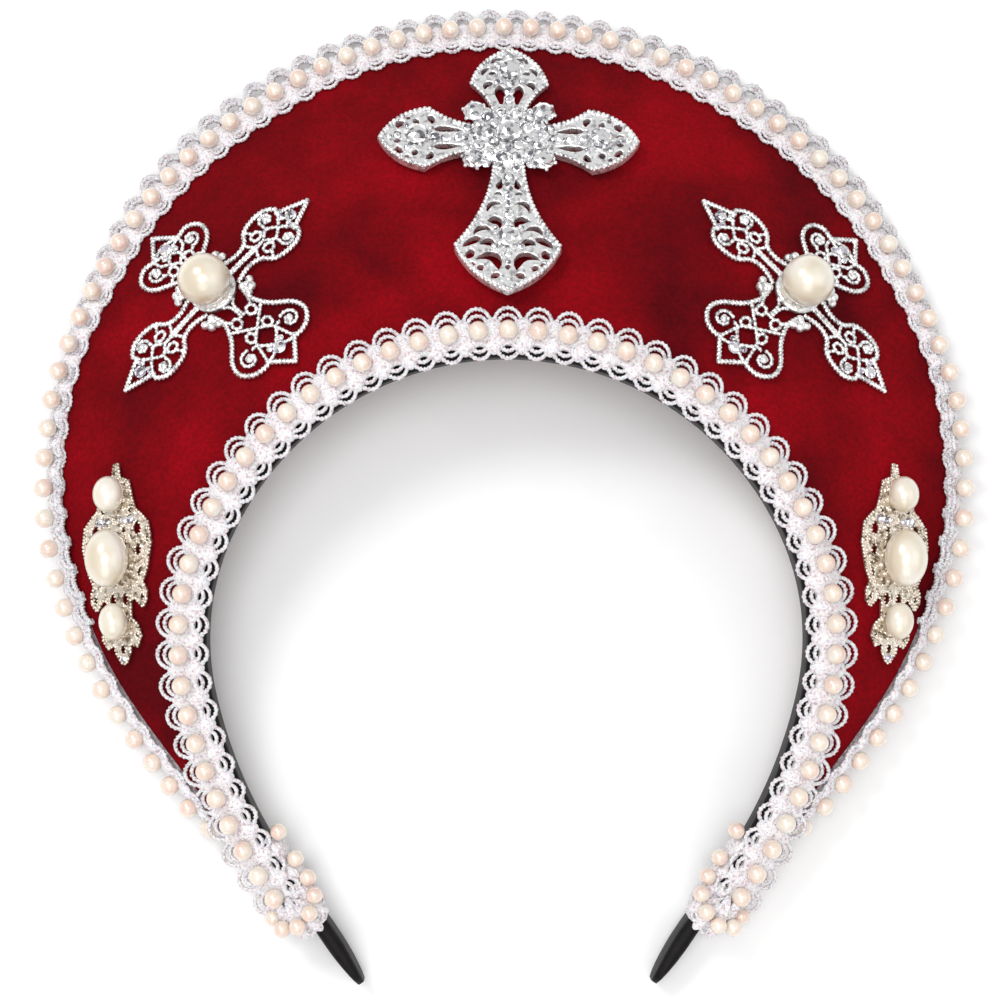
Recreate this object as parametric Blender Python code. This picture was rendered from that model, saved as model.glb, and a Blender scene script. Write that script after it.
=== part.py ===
"""Crown headdress: a stiff crescent plate covered in velvet, carried on a satin covered hairband,
edged with two pearl-beaded lace trims and set with a pierced rhinestone cross, two filigree crosses
and two filigree drops with pearl cabochons.

The crown is drawn in its wearer's frame: X to the right, Y up, Z towards the viewer, with the
centre of the hairband's top arc at the origin. The last step lays it down on its back, so that it
rests on the plate's rim and on the two ends of the hairband, with +Z up.
"""

import math

import bmesh
import bpy
from mathutils import Matrix, Vector

MM = 0.001
AIR = 0.3 * MM                       # clearance between touching pieces

# The hairband: a flat strip on edge, bent to a horseshoe. Its rows describe the right half of its
# inner face, from the middle of the top down to the tip.
BAND_TOP = 66.8 * MM
BAND_THICKNESS = 2.6 * MM
BAND_WIDTH = 9.0 * MM
BAND_FRONT = -0.3 * MM
BAND_CORNER = 0.7 * MM
BAND_TIP_SHARE = 0.55                # width of the rounded tips, as a share of the band's width
BAND_TIP_LENGTH = 7.0 * MM
BAND_ROWS = (
    # stretch, radius in mm (0 is straight), turn in degrees, length in mm of a straight
    ("crown", 67.3, 66.0, 0.0),
    ("temple", 55.0, 36.5, 0.0),
    ("cheek", 107.0, 21.5, 0.0),
    ("end", 0.0, 0.0, 32.0),
)

# The crescent plate: its rim is drawn the same way, and its face falls away behind the hairband
# like the side of a shallow dish that grows steeper towards the rim.
RIM_TOP = 148.3 * MM
RIM_ROWS = (
    ("crown", 101.9, 88.5, 0.0),
    ("shoulder", 96.9, 37.7, 0.0),
    ("cheek", 215.0, 2.3, 0.0),
    ("run", 0.0, 0.0, 45.6),
)
PLATE_THICKNESS = 3.0 * MM
PLATE_END = 162.0 * MM               # how far down the band's inner face the plate reaches
SLOPE_INNER = math.radians(22.0)
SLOPE_OUTER = math.radians(38.0)
SLOPE_SPAN = 82.0 * MM

# The trims: a beaded lace braid along the band, and one folded round the rim.
BRAID_THICKNESS = 0.7 * MM
PEARL_RADIUS = 2.1 * MM
INNER_MIDDLE = 4.7 * MM              # the string's distance from the band's inner face
INNER_HALF = 5.0 * MM
INNER_END = 161.5 * MM
INNER_STRING_END = 158.4 * MM
INNER_LEAST = 3.6 * MM               # the inner braid's outer edge where the plate is narrowest
RIM_ROOM = 2.6 * MM                  # what the outer trim takes of the plate beside its rim
OUTER_FRONT = 5.2 * MM               # the braid's width in front of its pearls at the top
OUTER_FRONT_LOW = 2.8 * MM           # and on the sides, where it turns over the rim
OUTER_FRONT_SPAN = (60.0 * MM, 150.0 * MM)
OUTER_BACK = 6.0 * MM                # and behind them, where it turns in behind the plate
OUTER_END = 8.0 * MM                 # the braid stops this far before the rim's lower end
OUTER_STRING_END = 10.0 * MM
OUTER_TIP_SHARE = 0.38               # the braid's width at its ends, as a share of its full width
OUTER_TAPER = 60.0 * MM              # over which it narrows to that
OUTER_ROLL = (
    # distance from the top along the rim, how far the pearls lie in front of the rim's middle, in mm
    (20.0, 6.2), (60.0, 6.9), (110.0, 5.5), (150.0, 2.8), (200.0, 0.6), (240.0, 0.4), (272.0, -2.6),
)

# Where each end of the outer trim turns over the band: offset from its inner face, and height. In mm.
TAIL_TURN_SPAN = (162.5, 169.5)      # distances along the band
TAIL_RUN_SPAN = (145.0, 164.0)
TAIL_TURN = ((-1.0, -8.0), (-0.3, -8.0), (-0.3, 0.0), (5.9, 0.0), (5.9, 0.7), (-1.0, 0.7))
TAIL_RUN = ((-0.95, -7.5), (-0.35, -7.5), (-0.35, -2.1), (-0.95, -2.1))
TAIL_PEARLS = (
    # distance along the band, offset from its inner face, height, in mm
    (157.5, 8.3, -5.0), (161.8, 9.2, -2.0), (164.6, 8.4, 1.4), (165.8, 5.0, 3.6), (164.8, 1.2, 3.9),
    (162.2, -1.8, 2.9), (158.4, -2.5, 0.9), (153.5, -2.5, 0.2), (146.4, -2.5, 0.1),
)

# The pierced cross: arms that flare to a pointed end. Sizes in mm, measured from its middle.
CROSS_PLACE = (0.7, 117.3, -1.0)     # X and Y in mm of its middle, and its lean in degrees
CROSS_THICKNESS = 2.0 * MM
CROSS_ARMS = (
    # arm, direction in degrees, length, shoulder half width, shoulder to tip, waist half width
    ("right", 0.0, 30.2, 8.9, 11.0, 3.9),
    ("top", 90.0, 27.8, 9.1, 10.8, 3.5),
    ("left", 180.0, 30.2, 8.9, 11.0, 3.9),
    ("bottom", 270.0, 43.4, 12.0, 11.9, 3.8),
)
CROSS_BOSS_RADIUS = 9.4
CROSS_BOSS_RISE = 1.6 * MM
CROSS_CORNER = (7.9, 7.0)
STONE_RADIUS = 2.75
STONE_SIDES = 8
STONE_SEATS = (("right", 21.1), ("top", 20.4), ("left", 21.1), ("bottom", 29.0))
SEAT_LIP = 0.3                       # how far a seat shows round its stone
SEAT_RISE = 0.5 * MM
FINE_GAP = 1.45                      # openings narrower than this have four sides
# Openings of an arm, one row for each mirrored pair: distance back from the tip, distance from the
# arm's line, length, width, and the turn of its long side away from the arm's line.
SHORT_ARM_GAPS = (
    ("tip leaf", 5.0, 2.2, 3.2, 1.2, 62.0),
    ("rim leaf", 8.6, 5.2, 4.2, 1.4, 44.0),
    ("shoulder eye", 12.6, 6.0, 2.2, 1.2, -60.0),
    ("throat", 16.6, 2.7, 6.4, 1.5, -6.0),
)
LONG_ARM_GAPS = (
    ("tip leaf", 4.6, 1.9, 2.8, 1.1, 60.0),
    ("rim eye", 6.4, 4.9, 1.9, 1.1, 40.0),
    ("rim bead", 8.6, 7.0, 1.7, 1.0, 20.0),
    ("fan", 9.6, 3.3, 6.0, 1.8, 40.0),
    ("shoulder leaf", 12.3, 8.4, 3.2, 1.1, -35.0),
    ("upper fan", 14.6, 4.6, 3.0, 1.2, 30.0),
    ("side leaf", 15.6, 7.3, 3.2, 1.1, -60.0),
    ("scroll", 19.0, 2.9, 3.8, 1.3, 20.0),
    ("side scroll", 18.6, 5.4, 3.4, 1.1, -50.0),
    ("waist leaf", 23.4, 3.0, 3.0, 1.1, 10.0),
    ("waist eye", 26.8, 2.8, 2.0, 0.9, -20.0),
    ("throat", 31.0, 2.2, 3.4, 1.0, -4.0),
)

# The filigree crosses, with one row for each arm, sizes in mm from the middle.
FILIGREE_PLACE = (66.0, 82.4, -47.0)
FILIGREE_THICKNESS = 1.0 * MM
BENT_AIR = 0.4 * MM                  # clearance of silver that is bent to the plate
CUT_PITCH = 20.0 * MM                # the bent silver is cut this often, to follow the plate
FILIGREE_CORNER = 4.75               # where two arms meet, to each side of the middle, in mm
FILIGREE_COLLAR = 5.4                # radius of the collar under the pearl, in mm
COLLAR_RISE = 0.4 * MM
SIDE_ARM = (
    # outline from the hub to the tip: distance along the arm, half width
    (5.4, 2.8), (9.0, 2.5), (12.5, 3.3), (15.0, 5.8), (19.0, 6.9), (22.6, 6.2), (23.8, 3.3),
    (29.8, 0.4),
)
TOP_ARM = (
    (5.4, 3.6), (8.6, 4.0), (12.0, 8.6), (15.0, 9.9), (17.6, 9.2), (18.8, 5.0), (23.3, 0.5),
)
BOTTOM_ARM = (
    (5.6, 3.6), (9.0, 4.2), (13.1, 6.2), (17.2, 9.9), (20.6, 10.6), (23.2, 8.9), (24.4, 5.0),
    (28.4, 0.5),
)
# Openings: distance from the middle, distance from the arm's line, length, width, turn.
SIDE_ARM_GAPS = (
    ("lobe", 18.4, 4.3, 6.4, 2.4, 8.0),
    ("throat", 11.0, 1.3, 4.4, 0.9, 5.0),
)
SIDE_ARM_MIDDLE_GAPS = (("diamond", 17.6, 3.6, 2.2), ("tip", 26.2, 2.8, 1.6))
TOP_ARM_GAPS = (
    ("throat", 8.7, 2.0, 2.4, 1.1, 10.0),
    ("lobe", 14.0, 6.6, 6.0, 2.8, 25.0),
    ("eye", 12.8, 2.6, 3.0, 1.5, 20.0),
)
TOP_ARM_MIDDLE_GAPS = (("diamond", 16.4, 3.4, 2.4), ("tip", 20.9, 2.4, 1.7))
BOTTOM_ARM_GAPS = (
    ("flank", 10.6, 2.9, 4.6, 1.7, 18.0),
    ("lobe", 18.8, 7.2, 7.2, 3.4, 12.0),
    ("scroll", 19.8, 3.1, 4.4, 1.8, 10.0),
)
BOTTOM_ARM_MIDDLE_GAPS = (("fork", 14.4, 4.4, 2.4), ("cap", 25.2, 3.0, 2.4))
CROSS_PEARL = (5.8, 5.8, 4.6)        # half width, half height, and centre above its flat base, in mm

# The filigree drops: half widths down the piece, from its spike at the top, in mm from the middle.
DROP_PLACE = (86.3, 22.0, -7.0)
DROP_THICKNESS = 1.0 * MM
DROP_OUTLINE = (
    (21.4, 0.5), (18.4, 0.9), (17.4, 3.2), (13.9, 4.0), (10.9, 4.9), (9.6, 6.4), (7.6, 8.2),
    (3.2, 8.8), (-2.8, 7.5), (-5.4, 6.3), (-7.4, 7.2), (-9.6, 7.0), (-11.0, 6.0), (-8.8, 4.2),
    (-9.0, 3.0), (-13.2, 2.8), (-14.8, 4.4), (-17.2, 5.0), (-19.4, 3.8), (-18.6, 1.9), (-20.4, 1.9),
    (-23.0, 0.4),
)
DROP_GAPS = (
    ("ear", 6.6, 5.6, 3.0, 2.2, -30.0),
    ("wing", 1.6, 6.7, 5.4, 1.3, -8.0),
    ("foot", -9.0, 5.7, 1.9, 1.1, 0.0),
    ("claw", -17.0, 3.6, 2.0, 1.0, 10.0),
)
DROP_MIDDLE_GAPS = (("toe", -20.3, 2.2, 1.3),)
DROP_PEARLS = (
    # pearl, distance up the piece, half width, half height, centre above its flat base
    ("top", 14.1, 3.35, 4.0, 2.9),
    ("middle", 0.0, 4.7, 6.3, 3.9),
    ("bottom", -13.7, 3.1, 4.0, 2.7),
)
PEARL_SIDES = 12
PEARL_RINGS = 5

REST_TILT = math.radians(10.204)     # the crown leans back this much when it lies on its rim and tips


class HalfPath:
    """The right half of an outline made of arcs and straights that meet without a corner. Its
    turn is 0 at the top, where it runs to +X, and 90 degrees where it runs straight down."""

    def __init__(self, top, rows):
        self.pieces = []
        self.length = 0.0
        start, turn = Vector((0.0, top)), 0.0
        for _, radius, degrees, straight in rows:
            radius, degrees, straight = radius * MM, math.radians(degrees), straight * MM
            length = radius * degrees or straight
            centre = start - radius * self.outward(turn)
            self.pieces.append((start, turn, radius, centre, length, degrees))
            if radius:
                start = centre + radius * self.outward(turn + degrees)
            else:
                start = start + length * self.onward(turn)
            turn += degrees
            self.length += length

    @staticmethod
    def outward(turn):
        return Vector((math.sin(turn), math.cos(turn)))

    @staticmethod
    def onward(turn):
        return Vector((math.cos(turn), -math.sin(turn)))

    def at(self, distance, offset=0.0):
        """Point at a distance along the path, offset outwards, and the outward direction there.
        A negative distance is on the left half."""
        side, left = (-1.0 if distance < 0.0 else 1.0), abs(distance)
        for start, turn, radius, centre, length, _ in self.pieces:
            if left <= length or (start, turn) == self.pieces[-1][:2]:
                break
            left -= length
        if radius:
            out = self.outward(turn + left / radius)
            point = centre + (radius + offset) * out
        else:
            out = self.outward(turn)
            point = start + left * self.onward(turn) + offset * out
        return Vector((side * point.x, point.y)), Vector((side * out.x, out.y))

    def gap(self, x, y):
        """Signed distance of (x, y) from the path, positive outside it."""
        point = Vector((abs(x), y))
        for start, turn, radius, centre, length, degrees in self.pieces:
            last = (start, turn) == self.pieces[-1][:2]
            if radius:
                away = point - centre
                if math.atan2(away.x, away.y) <= turn + degrees or last:
                    return away.length - radius
            else:
                away = point - start
                if away.dot(self.onward(turn)) <= length or last:
                    return away.dot(self.outward(turn))
        return 0.0


BAND = HalfPath(BAND_TOP, BAND_ROWS)
RIM = HalfPath(RIM_TOP, RIM_ROWS)


def fall(reach):
    """How far the dish has dropped behind the band at a reach from the band's outer face."""
    growth = (SLOPE_OUTER - SLOPE_INNER) / SLOPE_SPAN
    slope = SLOPE_INNER + growth * max(reach, 0.0)
    return (math.log(math.cos(SLOPE_INNER)) - math.log(math.cos(slope))) / growth


def face(x, y):
    """The plate's front face over (x, y)."""
    return Vector((x, y, -fall(BAND.gap(x, y) - BAND_THICKNESS)))


def face_normal(x, y):
    step = 0.5 * MM
    across = face(x + step, y) - face(x - step, y)
    up = face(x, y + step) - face(x, y - step)
    return across.cross(up).normalized()


def over(x, y, lift):
    """A point lifted off the front face along its normal."""
    return face(x, y) + lift * face_normal(x, y)


def spread(low, high, count):
    """Evenly spaced values from low to high, both included."""
    return [low + (high - low) * i / (count - 1) for i in range(count)]


def material(name, color, roughness, metallic=0.0, coat=0.0):
    made = bpy.data.materials.new(name)
    made.use_nodes = True
    shader = made.node_tree.nodes["Principled BSDF"]
    shader.inputs["Base Color"].default_value = (*color, 1.0)
    shader.inputs["Roughness"].default_value = roughness
    shader.inputs["Metallic"].default_value = metallic
    shader.inputs["Coat Weight"].default_value = coat
    return made


def add(name, mesh, finish, group):
    """Puts a finished mesh in the crown's collection under its node name."""
    part = bpy.data.objects.new(name, mesh)
    mesh.name = name
    mesh.materials.clear()
    mesh.materials.append(finish)
    group.objects.link(part)
    return part


def loft_mesh(sections):
    """A closed solid through like closed sections, capped at both ends."""
    body = bmesh.new()
    rings = [[body.verts.new(point) for point in section] for section in sections]
    for ring, following in zip(rings, rings[1:]):
        for i, corner in enumerate(ring):
            after = (i + 1) % len(ring)
            body.faces.new((corner, ring[after], following[after], following[i]))
    body.faces.new(list(reversed(rings[0])))
    body.faces.new(rings[-1])
    bmesh.ops.recalc_face_normals(body, faces=body.faces)
    mesh = bpy.data.meshes.new("loft")
    body.to_mesh(mesh)
    body.free()
    return mesh


def band_stations():
    """Distances along the band: one flat facet in the middle of the top, then even steps."""
    steps = 25
    even = [BAND.length * (i + 0.5) / (steps + 0.5) for i in range(steps)]
    half = even[:-2] + spread(BAND.length - 1.5 * BAND_TIP_LENGTH, BAND.length, 5)
    return [-s for s in reversed(half)] + half


def make_hairband(finish, group):
    """A flat strip on edge with rounded corners, drawn in to a rounded tip at each end."""
    sections = []
    for distance in band_stations():
        into_tip = max(0.0, abs(distance) - BAND.length + BAND_TIP_LENGTH) / BAND_TIP_LENGTH
        share = 1.0 - (1.0 - BAND_TIP_SHARE) * (1.0 - math.sqrt(1.0 - min(into_tip, 1.0) ** 2))
        half = 0.5 * BAND_WIDTH * share
        middle = BAND_FRONT - 0.5 * BAND_WIDTH
        corner = BAND_CORNER * share
        profile = (
            (0.0, half - corner), (corner, half), (BAND_THICKNESS - corner, half),
            (BAND_THICKNESS, half - corner), (BAND_THICKNESS, corner - half),
            (BAND_THICKNESS - corner, -half), (corner, -half), (0.0, corner - half),
        )
        section = []
        for offset, height in profile:
            point, _ = BAND.at(distance, offset)
            section.append((point.x, point.y, middle + height))
        sections.append(section)
    return add("hairband", loft_mesh(sections), finish, group)


def rim_reach(distance):
    """How far the plate reaches outwards from the band's inner face at a distance along it."""
    low, high = BAND_THICKNESS, RIM_TOP
    for _ in range(40):
        middle = 0.5 * (low + high)
        point, _ = BAND.at(distance, middle)
        if RIM.gap(point.x, point.y) < 0.0:
            low = middle
        else:
            high = middle
    return low


def under(x, y):
    """The plate's back face over (x, y)."""
    return face(x, y) - Vector((0.0, 0.0, PLATE_THICKNESS / face_normal(x, y).z))


def make_plate(finish, group):
    """The crescent board, lofted along the band from tip to tip. Its edge beside the band is square
    to the band, and its rim is square to its own face."""
    sections = []
    for distance in spread(-PLATE_END, PLATE_END, 49):
        inner = BAND_THICKNESS + AIR
        outer = rim_reach(distance)
        rim, _ = BAND.at(distance, outer)
        lean = PLATE_THICKNESS * math.sqrt(1.0 - face_normal(rim.x, rim.y).z ** 2)
        front, back = [], []
        for offset in spread(outer, inner, 5):
            point, _ = BAND.at(distance, offset)
            front.append(face(point.x, point.y))
            point, _ = BAND.at(distance, offset - lean * (offset - inner) / (outer - inner))
            back.append(under(point.x, point.y))
        sections.append(front + back[::-1])
    return add("crown_plate", loft_mesh(sections), finish, group)


def make_inner_braid(finish, group):
    """The flat braid over the seam between the plate and the band. Towards its ends it narrows
    where the outer braid lies beside it."""
    sections = []
    for distance in spread(-INNER_END, INNER_END, 49):
        room = max(rim_reach(distance) - RIM_ROOM, INNER_LEAST)
        outer = min(INNER_MIDDLE + INNER_HALF, room)
        section = []
        for offset in spread(outer, BAND_THICKNESS, 3) + [INNER_MIDDLE - INNER_HALF]:
            point, _ = BAND.at(distance, offset)
            section.append(over(point.x, point.y, AIR + BRAID_THICKNESS))
            section.insert(0, over(point.x, point.y, AIR))
        sections.append(section)
    return add("inner_lace_braid", loft_mesh(sections), finish, group)


def rim_frame(distance):
    """On the rim: the front edge's point, the way out in the plate's face, and the face's normal."""
    step = 0.5 * MM
    point, _ = RIM.at(distance)
    before, _ = RIM.at(distance - step)
    after, _ = RIM.at(distance + step)
    normal = face_normal(point.x, point.y)
    along = (face(after.x, after.y) - face(before.x, before.y)).normalized()
    return face(point.x, point.y), normal.cross(along).normalized(), normal


def round_rim(distance, width, lift):
    """A point of the folded trim: width runs from the rim's middle over to the front face when
    positive and to the back face when negative, and lift is the height off the plate."""
    edge, out, normal = rim_frame(distance)
    radius = 0.5 * PLATE_THICKNESS + lift
    quarter = 0.5 * math.pi * (0.5 * PLATE_THICKNESS + AIR + 0.5 * BRAID_THICKNESS)
    core = edge - 0.5 * PLATE_THICKNESS * normal
    bend = max(-1.0, min(1.0, width / quarter)) * 0.5 * math.pi
    flat = max(0.0, abs(width) - quarter)
    return core + radius * (math.cos(bend) * out + math.sin(bend) * normal) - flat * out


def outer_roll(distance):
    """Where the pearls sit across the rim: in front of it at the top, over its edge lower down."""
    here = abs(distance) / MM
    for (start, before), (end, after) in zip(OUTER_ROLL, OUTER_ROLL[1:]):
        if here < end:
            share = max(0.0, (here - start) / (end - start))
            return (before + (after - before) * share * share * (3.0 - 2.0 * share)) * MM
    return OUTER_ROLL[-1][1] * MM


def make_outer_braid(finish, group):
    """The braid folded round the rim, narrower in front of its pearls on the sides."""
    start, stop = OUTER_FRONT_SPAN
    end = RIM.length - OUTER_END
    quarter = 0.5 * math.pi * (0.5 * PLATE_THICKNESS + AIR + 0.5 * BRAID_THICKNESS)
    sections = []
    for distance in spread(-end, end, 51):
        roll = outer_roll(distance)
        share = (end - abs(distance)) / OUTER_TAPER
        narrow = min(1.0, OUTER_TIP_SHARE + (1.0 - OUTER_TIP_SHARE) * share)
        turned_share = max(0.0, min(1.0, (abs(distance) - start) / (stop - start)))
        ahead = OUTER_FRONT + (OUTER_FRONT_LOW - OUTER_FRONT) * turned_share
        front, back = roll + ahead, roll - OUTER_BACK * narrow
        if back > -quarter:
            widths = spread(back, quarter, 4) + [front]
        else:
            widths = [back] + spread(-quarter, quarter, 3) + [front]
        inside = [round_rim(distance, width, AIR) for width in widths]
        outside = [round_rim(distance, width, AIR + BRAID_THICKNESS) for width in widths]
        sections.append(inside + outside[::-1])
    return add("outer_lace_braid", loft_mesh(sections), finish, group)


def tube(name, points, radius, finish, group):
    """A round string along points, as a curve with filled caps."""
    curve = bpy.data.curves.new(name, "CURVE")
    curve.dimensions = "3D"
    curve.bevel_depth = radius
    curve.bevel_resolution = 2
    curve.use_fill_caps = True
    line = curve.splines.new("POLY")
    line.points.add(len(points) - 1)
    for knot, point in zip(line.points, points):
        knot.co = (*point, 1.0)
    part = bpy.data.objects.new(name, curve)
    curve.materials.append(finish)
    group.objects.link(part)
    return part


def make_inner_string(finish, group):
    """The pearls of the inner trim, as one string on the braid's middle."""
    lift = AIR + BRAID_THICKNESS + AIR + PEARL_RADIUS
    points = []
    for distance in spread(-INNER_STRING_END, INNER_STRING_END, 41):
        point, _ = BAND.at(distance, INNER_MIDDLE)
        points.append(over(point.x, point.y, lift))
    return tube("inner_pearl_string", points, PEARL_RADIUS, finish, group)


def beside_band(distance, offset, height):
    """A point at a distance along the band, off its inner face by offset, at a height. In mm."""
    point, _ = BAND.at(distance * MM, offset * MM)
    return Vector((point.x, point.y, height * MM))


def make_outer_string(finish, group):
    """The pearls of the outer trim, as one string round the rim with a tail at each end."""
    lift = AIR + BRAID_THICKNESS + AIR + PEARL_RADIUS
    end = RIM.length - OUTER_STRING_END
    rim = [round_rim(s, outer_roll(s), lift) for s in spread(-end, end, 43)]
    right = [beside_band(*row) for row in TAIL_PEARLS]
    left = [Vector((-p.x, p.y, p.z)) for p in reversed(right)]
    return tube("outer_pearl_string", left + rim + right, PEARL_RADIUS, finish, group)


def band_run(start, end, steps, profile):
    """A solid along the right half of the band, from a profile of offsets and heights. In mm."""
    sections = []
    for distance in spread(start, end, steps):
        sections.append([beside_band(distance, offset, height) for offset, height in profile])
    return loft_mesh(sections)


def make_braid_tails(finish, group):
    """Each end of the outer braid: a turn over the front of the band, then up its inner face."""
    for side, mirrored in (("left", True), ("right", False)):
        turn = band_run(*TAIL_TURN_SPAN, 4, TAIL_TURN)
        run = band_run(*TAIL_RUN_SPAN, 5, TAIL_RUN)
        mesh = fused([turn, run])
        if mirrored:
            mesh.transform(Matrix.Scale(-1.0, 4, (1.0, 0.0, 0.0)))
            mesh.flip_normals()
        add(f"{side}_braid_tail", mesh, finish, group)


def leaf(x, y, length, width, degrees):
    """A pointed opening centred on (x, y), its long side turned from +X by degrees."""
    turn = math.radians(degrees)
    sides = 6 if width > FINE_GAP else 4
    points = []
    for i in range(sides):
        angle = 2.0 * math.pi * i / sides
        along, across = 0.5 * length * math.cos(angle), 0.5 * width * math.sin(angle)
        points.append((
            x + along * math.cos(turn) - across * math.sin(turn),
            y + along * math.sin(turn) + across * math.cos(turn),
        ))
    return points


def turned(points, degrees):
    """Flat points turned about the origin."""
    c, s = math.cos(math.radians(degrees)), math.sin(math.radians(degrees))
    return [(c * x - s * y, s * x + c * y) for x, y in points]


def both_sides(gaps):
    """Leaves on both sides of the +X line, from rows of name, x, y, length, width and turn."""
    made = []
    for _, x, y, length, width, degrees in gaps:
        made.append(leaf(x, y, length, width, degrees))
        made.append(leaf(x, -y, length, width, -degrees))
    return made


def on_line(gaps):
    """Diamonds on the +X line, from rows of name, x, length and width."""
    return [leaf(x, 0.0, length, width, 0.0) for _, x, length, width in gaps]


def curve_between(start, end, sag, steps):
    """Points from start up to but not including end, bowed to the left of the way by sag."""
    (x0, y0), (x1, y1) = start, end
    length = math.hypot(x1 - x0, y1 - y0)
    nx, ny = -(y1 - y0) / length, (x1 - x0) / length
    points = []
    for i in range(steps):
        t = i / steps
        bow = 4.0 * sag * t * (1.0 - t)
        points.append((x0 + (x1 - x0) * t + nx * bow, y0 + (y1 - y0) * t + ny * bow))
    return points


def pierced(name, outlines, thickness):
    """A flat plate of the outlines, each in mm, with the inner ones left open."""
    curve = bpy.data.curves.new(name, "CURVE")
    curve.dimensions = "2D"
    curve.fill_mode = "BOTH"
    curve.extrude = 0.5 * thickness
    for outline in outlines:
        line = curve.splines.new("POLY")
        line.use_cyclic_u = True
        line.points.add(len(outline) - 1)
        for knot, (x, y) in zip(line.points, outline):
            knot.co = (x * MM, y * MM, 0.0, 1.0)
    shape = bpy.data.objects.new(name, curve)
    bpy.context.scene.collection.objects.link(shape)
    mesh = evaluated_mesh(shape)
    bpy.data.objects.remove(shape)
    body = bmesh.new()
    body.from_mesh(mesh)
    bmesh.ops.remove_doubles(body, verts=body.verts, dist=0.01 * MM)
    bmesh.ops.translate(body, verts=body.verts, vec=(0.0, 0.0, 0.5 * thickness))
    bmesh.ops.recalc_face_normals(body, faces=body.faces)
    body.to_mesh(mesh)
    body.free()
    return mesh


def evaluated_mesh(part):
    """A mesh of its own from an object as its modifiers leave it."""
    graph = bpy.context.evaluated_depsgraph_get()
    graph.update()
    return bpy.data.meshes.new_from_object(part.evaluated_get(graph), depsgraph=graph)


def fused(meshes):
    """One body of overlapping flat-laid meshes."""
    parts = []
    for mesh in meshes:
        part = bpy.data.objects.new("piece", mesh)
        bpy.context.scene.collection.objects.link(part)
        parts.append(part)
    first = parts[0]
    for other in parts[1:]:
        join = first.modifiers.new("join", "BOOLEAN")
        join.operation = "UNION"
        join.object = other
    mesh = evaluated_mesh(first)
    for part in parts:
        bpy.data.objects.remove(part)
    return mesh


def disc(x, y, radius, low, high, sides, top_share=1.0):
    """A low cylinder or cone frustum standing on the flat, sizes in mm but low and high in metres."""
    body = bmesh.new()
    bmesh.ops.create_cone(
        body, cap_ends=True, segments=sides, radius1=radius * MM,
        radius2=radius * top_share * MM, depth=high - low,
        matrix=Matrix.Translation((x * MM, y * MM, 0.5 * (low + high))),
    )
    mesh = bpy.data.meshes.new("disc")
    body.to_mesh(mesh)
    body.free()
    return mesh


def cut_up(mesh, pitch):
    """Cuts a flat mesh's faces along a square grid, so that it can follow a curved surface."""
    body = bmesh.new()
    body.from_mesh(mesh)
    for axis in (0, 1):
        reach = max(abs(vertex.co[axis]) for vertex in body.verts)
        across = Vector((1.0, 0.0, 0.0)) if axis == 0 else Vector((0.0, 1.0, 0.0))
        count = round(reach / pitch)
        for i in range(-count, count):
            everything = body.verts[:] + body.edges[:] + body.faces[:]
            middle = (i + 0.5) * pitch * across
            bmesh.ops.bisect_plane(
                body, geom=everything, dist=0.001 * MM, plane_co=middle, plane_no=across
            )
    body.to_mesh(mesh)
    body.free()
    return mesh


def laid_on_plate(mesh, place, mirrored=False, rigid=False, lift=AIR):
    """Lays a flat mesh on the plate at place, which gives X and Y in mm and a lean in degrees. It
    follows the plate's face unless it is rigid, and mirrored puts it on the left."""
    x, y, lean = place
    middle, normal = face(x * MM, y * MM), face_normal(x * MM, y * MM)
    flat_up = Vector((-math.sin(math.radians(lean)), math.cos(math.radians(lean)), 0.0))
    up = (flat_up - flat_up.dot(normal) * normal).normalized()
    right = up.cross(normal)
    for vertex in mesh.vertices:
        a, b, height = vertex.co
        point, lifted = middle + a * right + b * up, normal
        if not rigid:
            for _ in range(6):
                point -= (point.z - face(point.x, point.y).z) * normal.z * normal
            lifted = face_normal(point.x, point.y)
        vertex.co = point + (lift + height) * lifted
    if mirrored:
        mesh.transform(Matrix.Scale(-1.0, 4, (1.0, 0.0, 0.0)))
        mesh.flip_normals()
    return mesh


def cross_outline():
    """Once round the four flared arms."""
    outline = []
    for _, degrees, length, shoulder, back, waist in CROSS_ARMS:
        root, neck = (waist + 0.6, -waist), (length - back, -shoulder)
        side = curve_between(root, neck, 1.6, 3)
        tip = curve_between(neck, (length, 0.0), -1.1, 3)
        lower = side + tip
        upper = [(x, -y) for x, y in reversed(lower)]
        outline += turned(lower + [(length, 0.0)] + upper, degrees)
    return outline


def make_cross(finish, group):
    """The pierced cross with its raised boss, arm spines and stone seats, fused into one casting."""
    gaps = []
    for name, degrees, length, *_ in CROSS_ARMS:
        rows = LONG_ARM_GAPS if name == "bottom" else SHORT_ARM_GAPS
        rows = [(row[0], length - row[1], *row[2:5], 180.0 - row[5]) for row in rows]
        gaps += [turned(points, degrees) for points in both_sides(rows)]
    plate = pierced("cross_plate", [cross_outline()] + gaps, CROSS_THICKNESS)
    top = CROSS_THICKNESS
    raised = [disc(0.0, 0.0, CROSS_BOSS_RADIUS, 0.5 * MM, top + CROSS_BOSS_RISE, 16, 0.72)]
    seat = STONE_RADIUS + SEAT_LIP
    for x, y in corner_places():
        raised.append(disc(x, y, seat, 0.45 * MM, top + SEAT_RISE, 10, 0.94))
    for x, y in arm_places():
        raised.append(disc(x, y, seat, 0.55 * MM, top + SEAT_RISE, 10, 0.94))
    mesh = laid_on_plate(fused([plate] + raised), CROSS_PLACE, rigid=True)
    return add("centre_cross", mesh, finish, group)


def corner_places():
    x, y = CROSS_CORNER
    return [(x, y), (-x, y), (-x, -y), (x, -y)]


def arm_places():
    """The big stone of each arm."""
    turns = {name: degrees for name, degrees, *_ in CROSS_ARMS}
    return [turned([(reach, 0.0)], turns[name])[0] for name, reach in STONE_SEATS]


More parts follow.
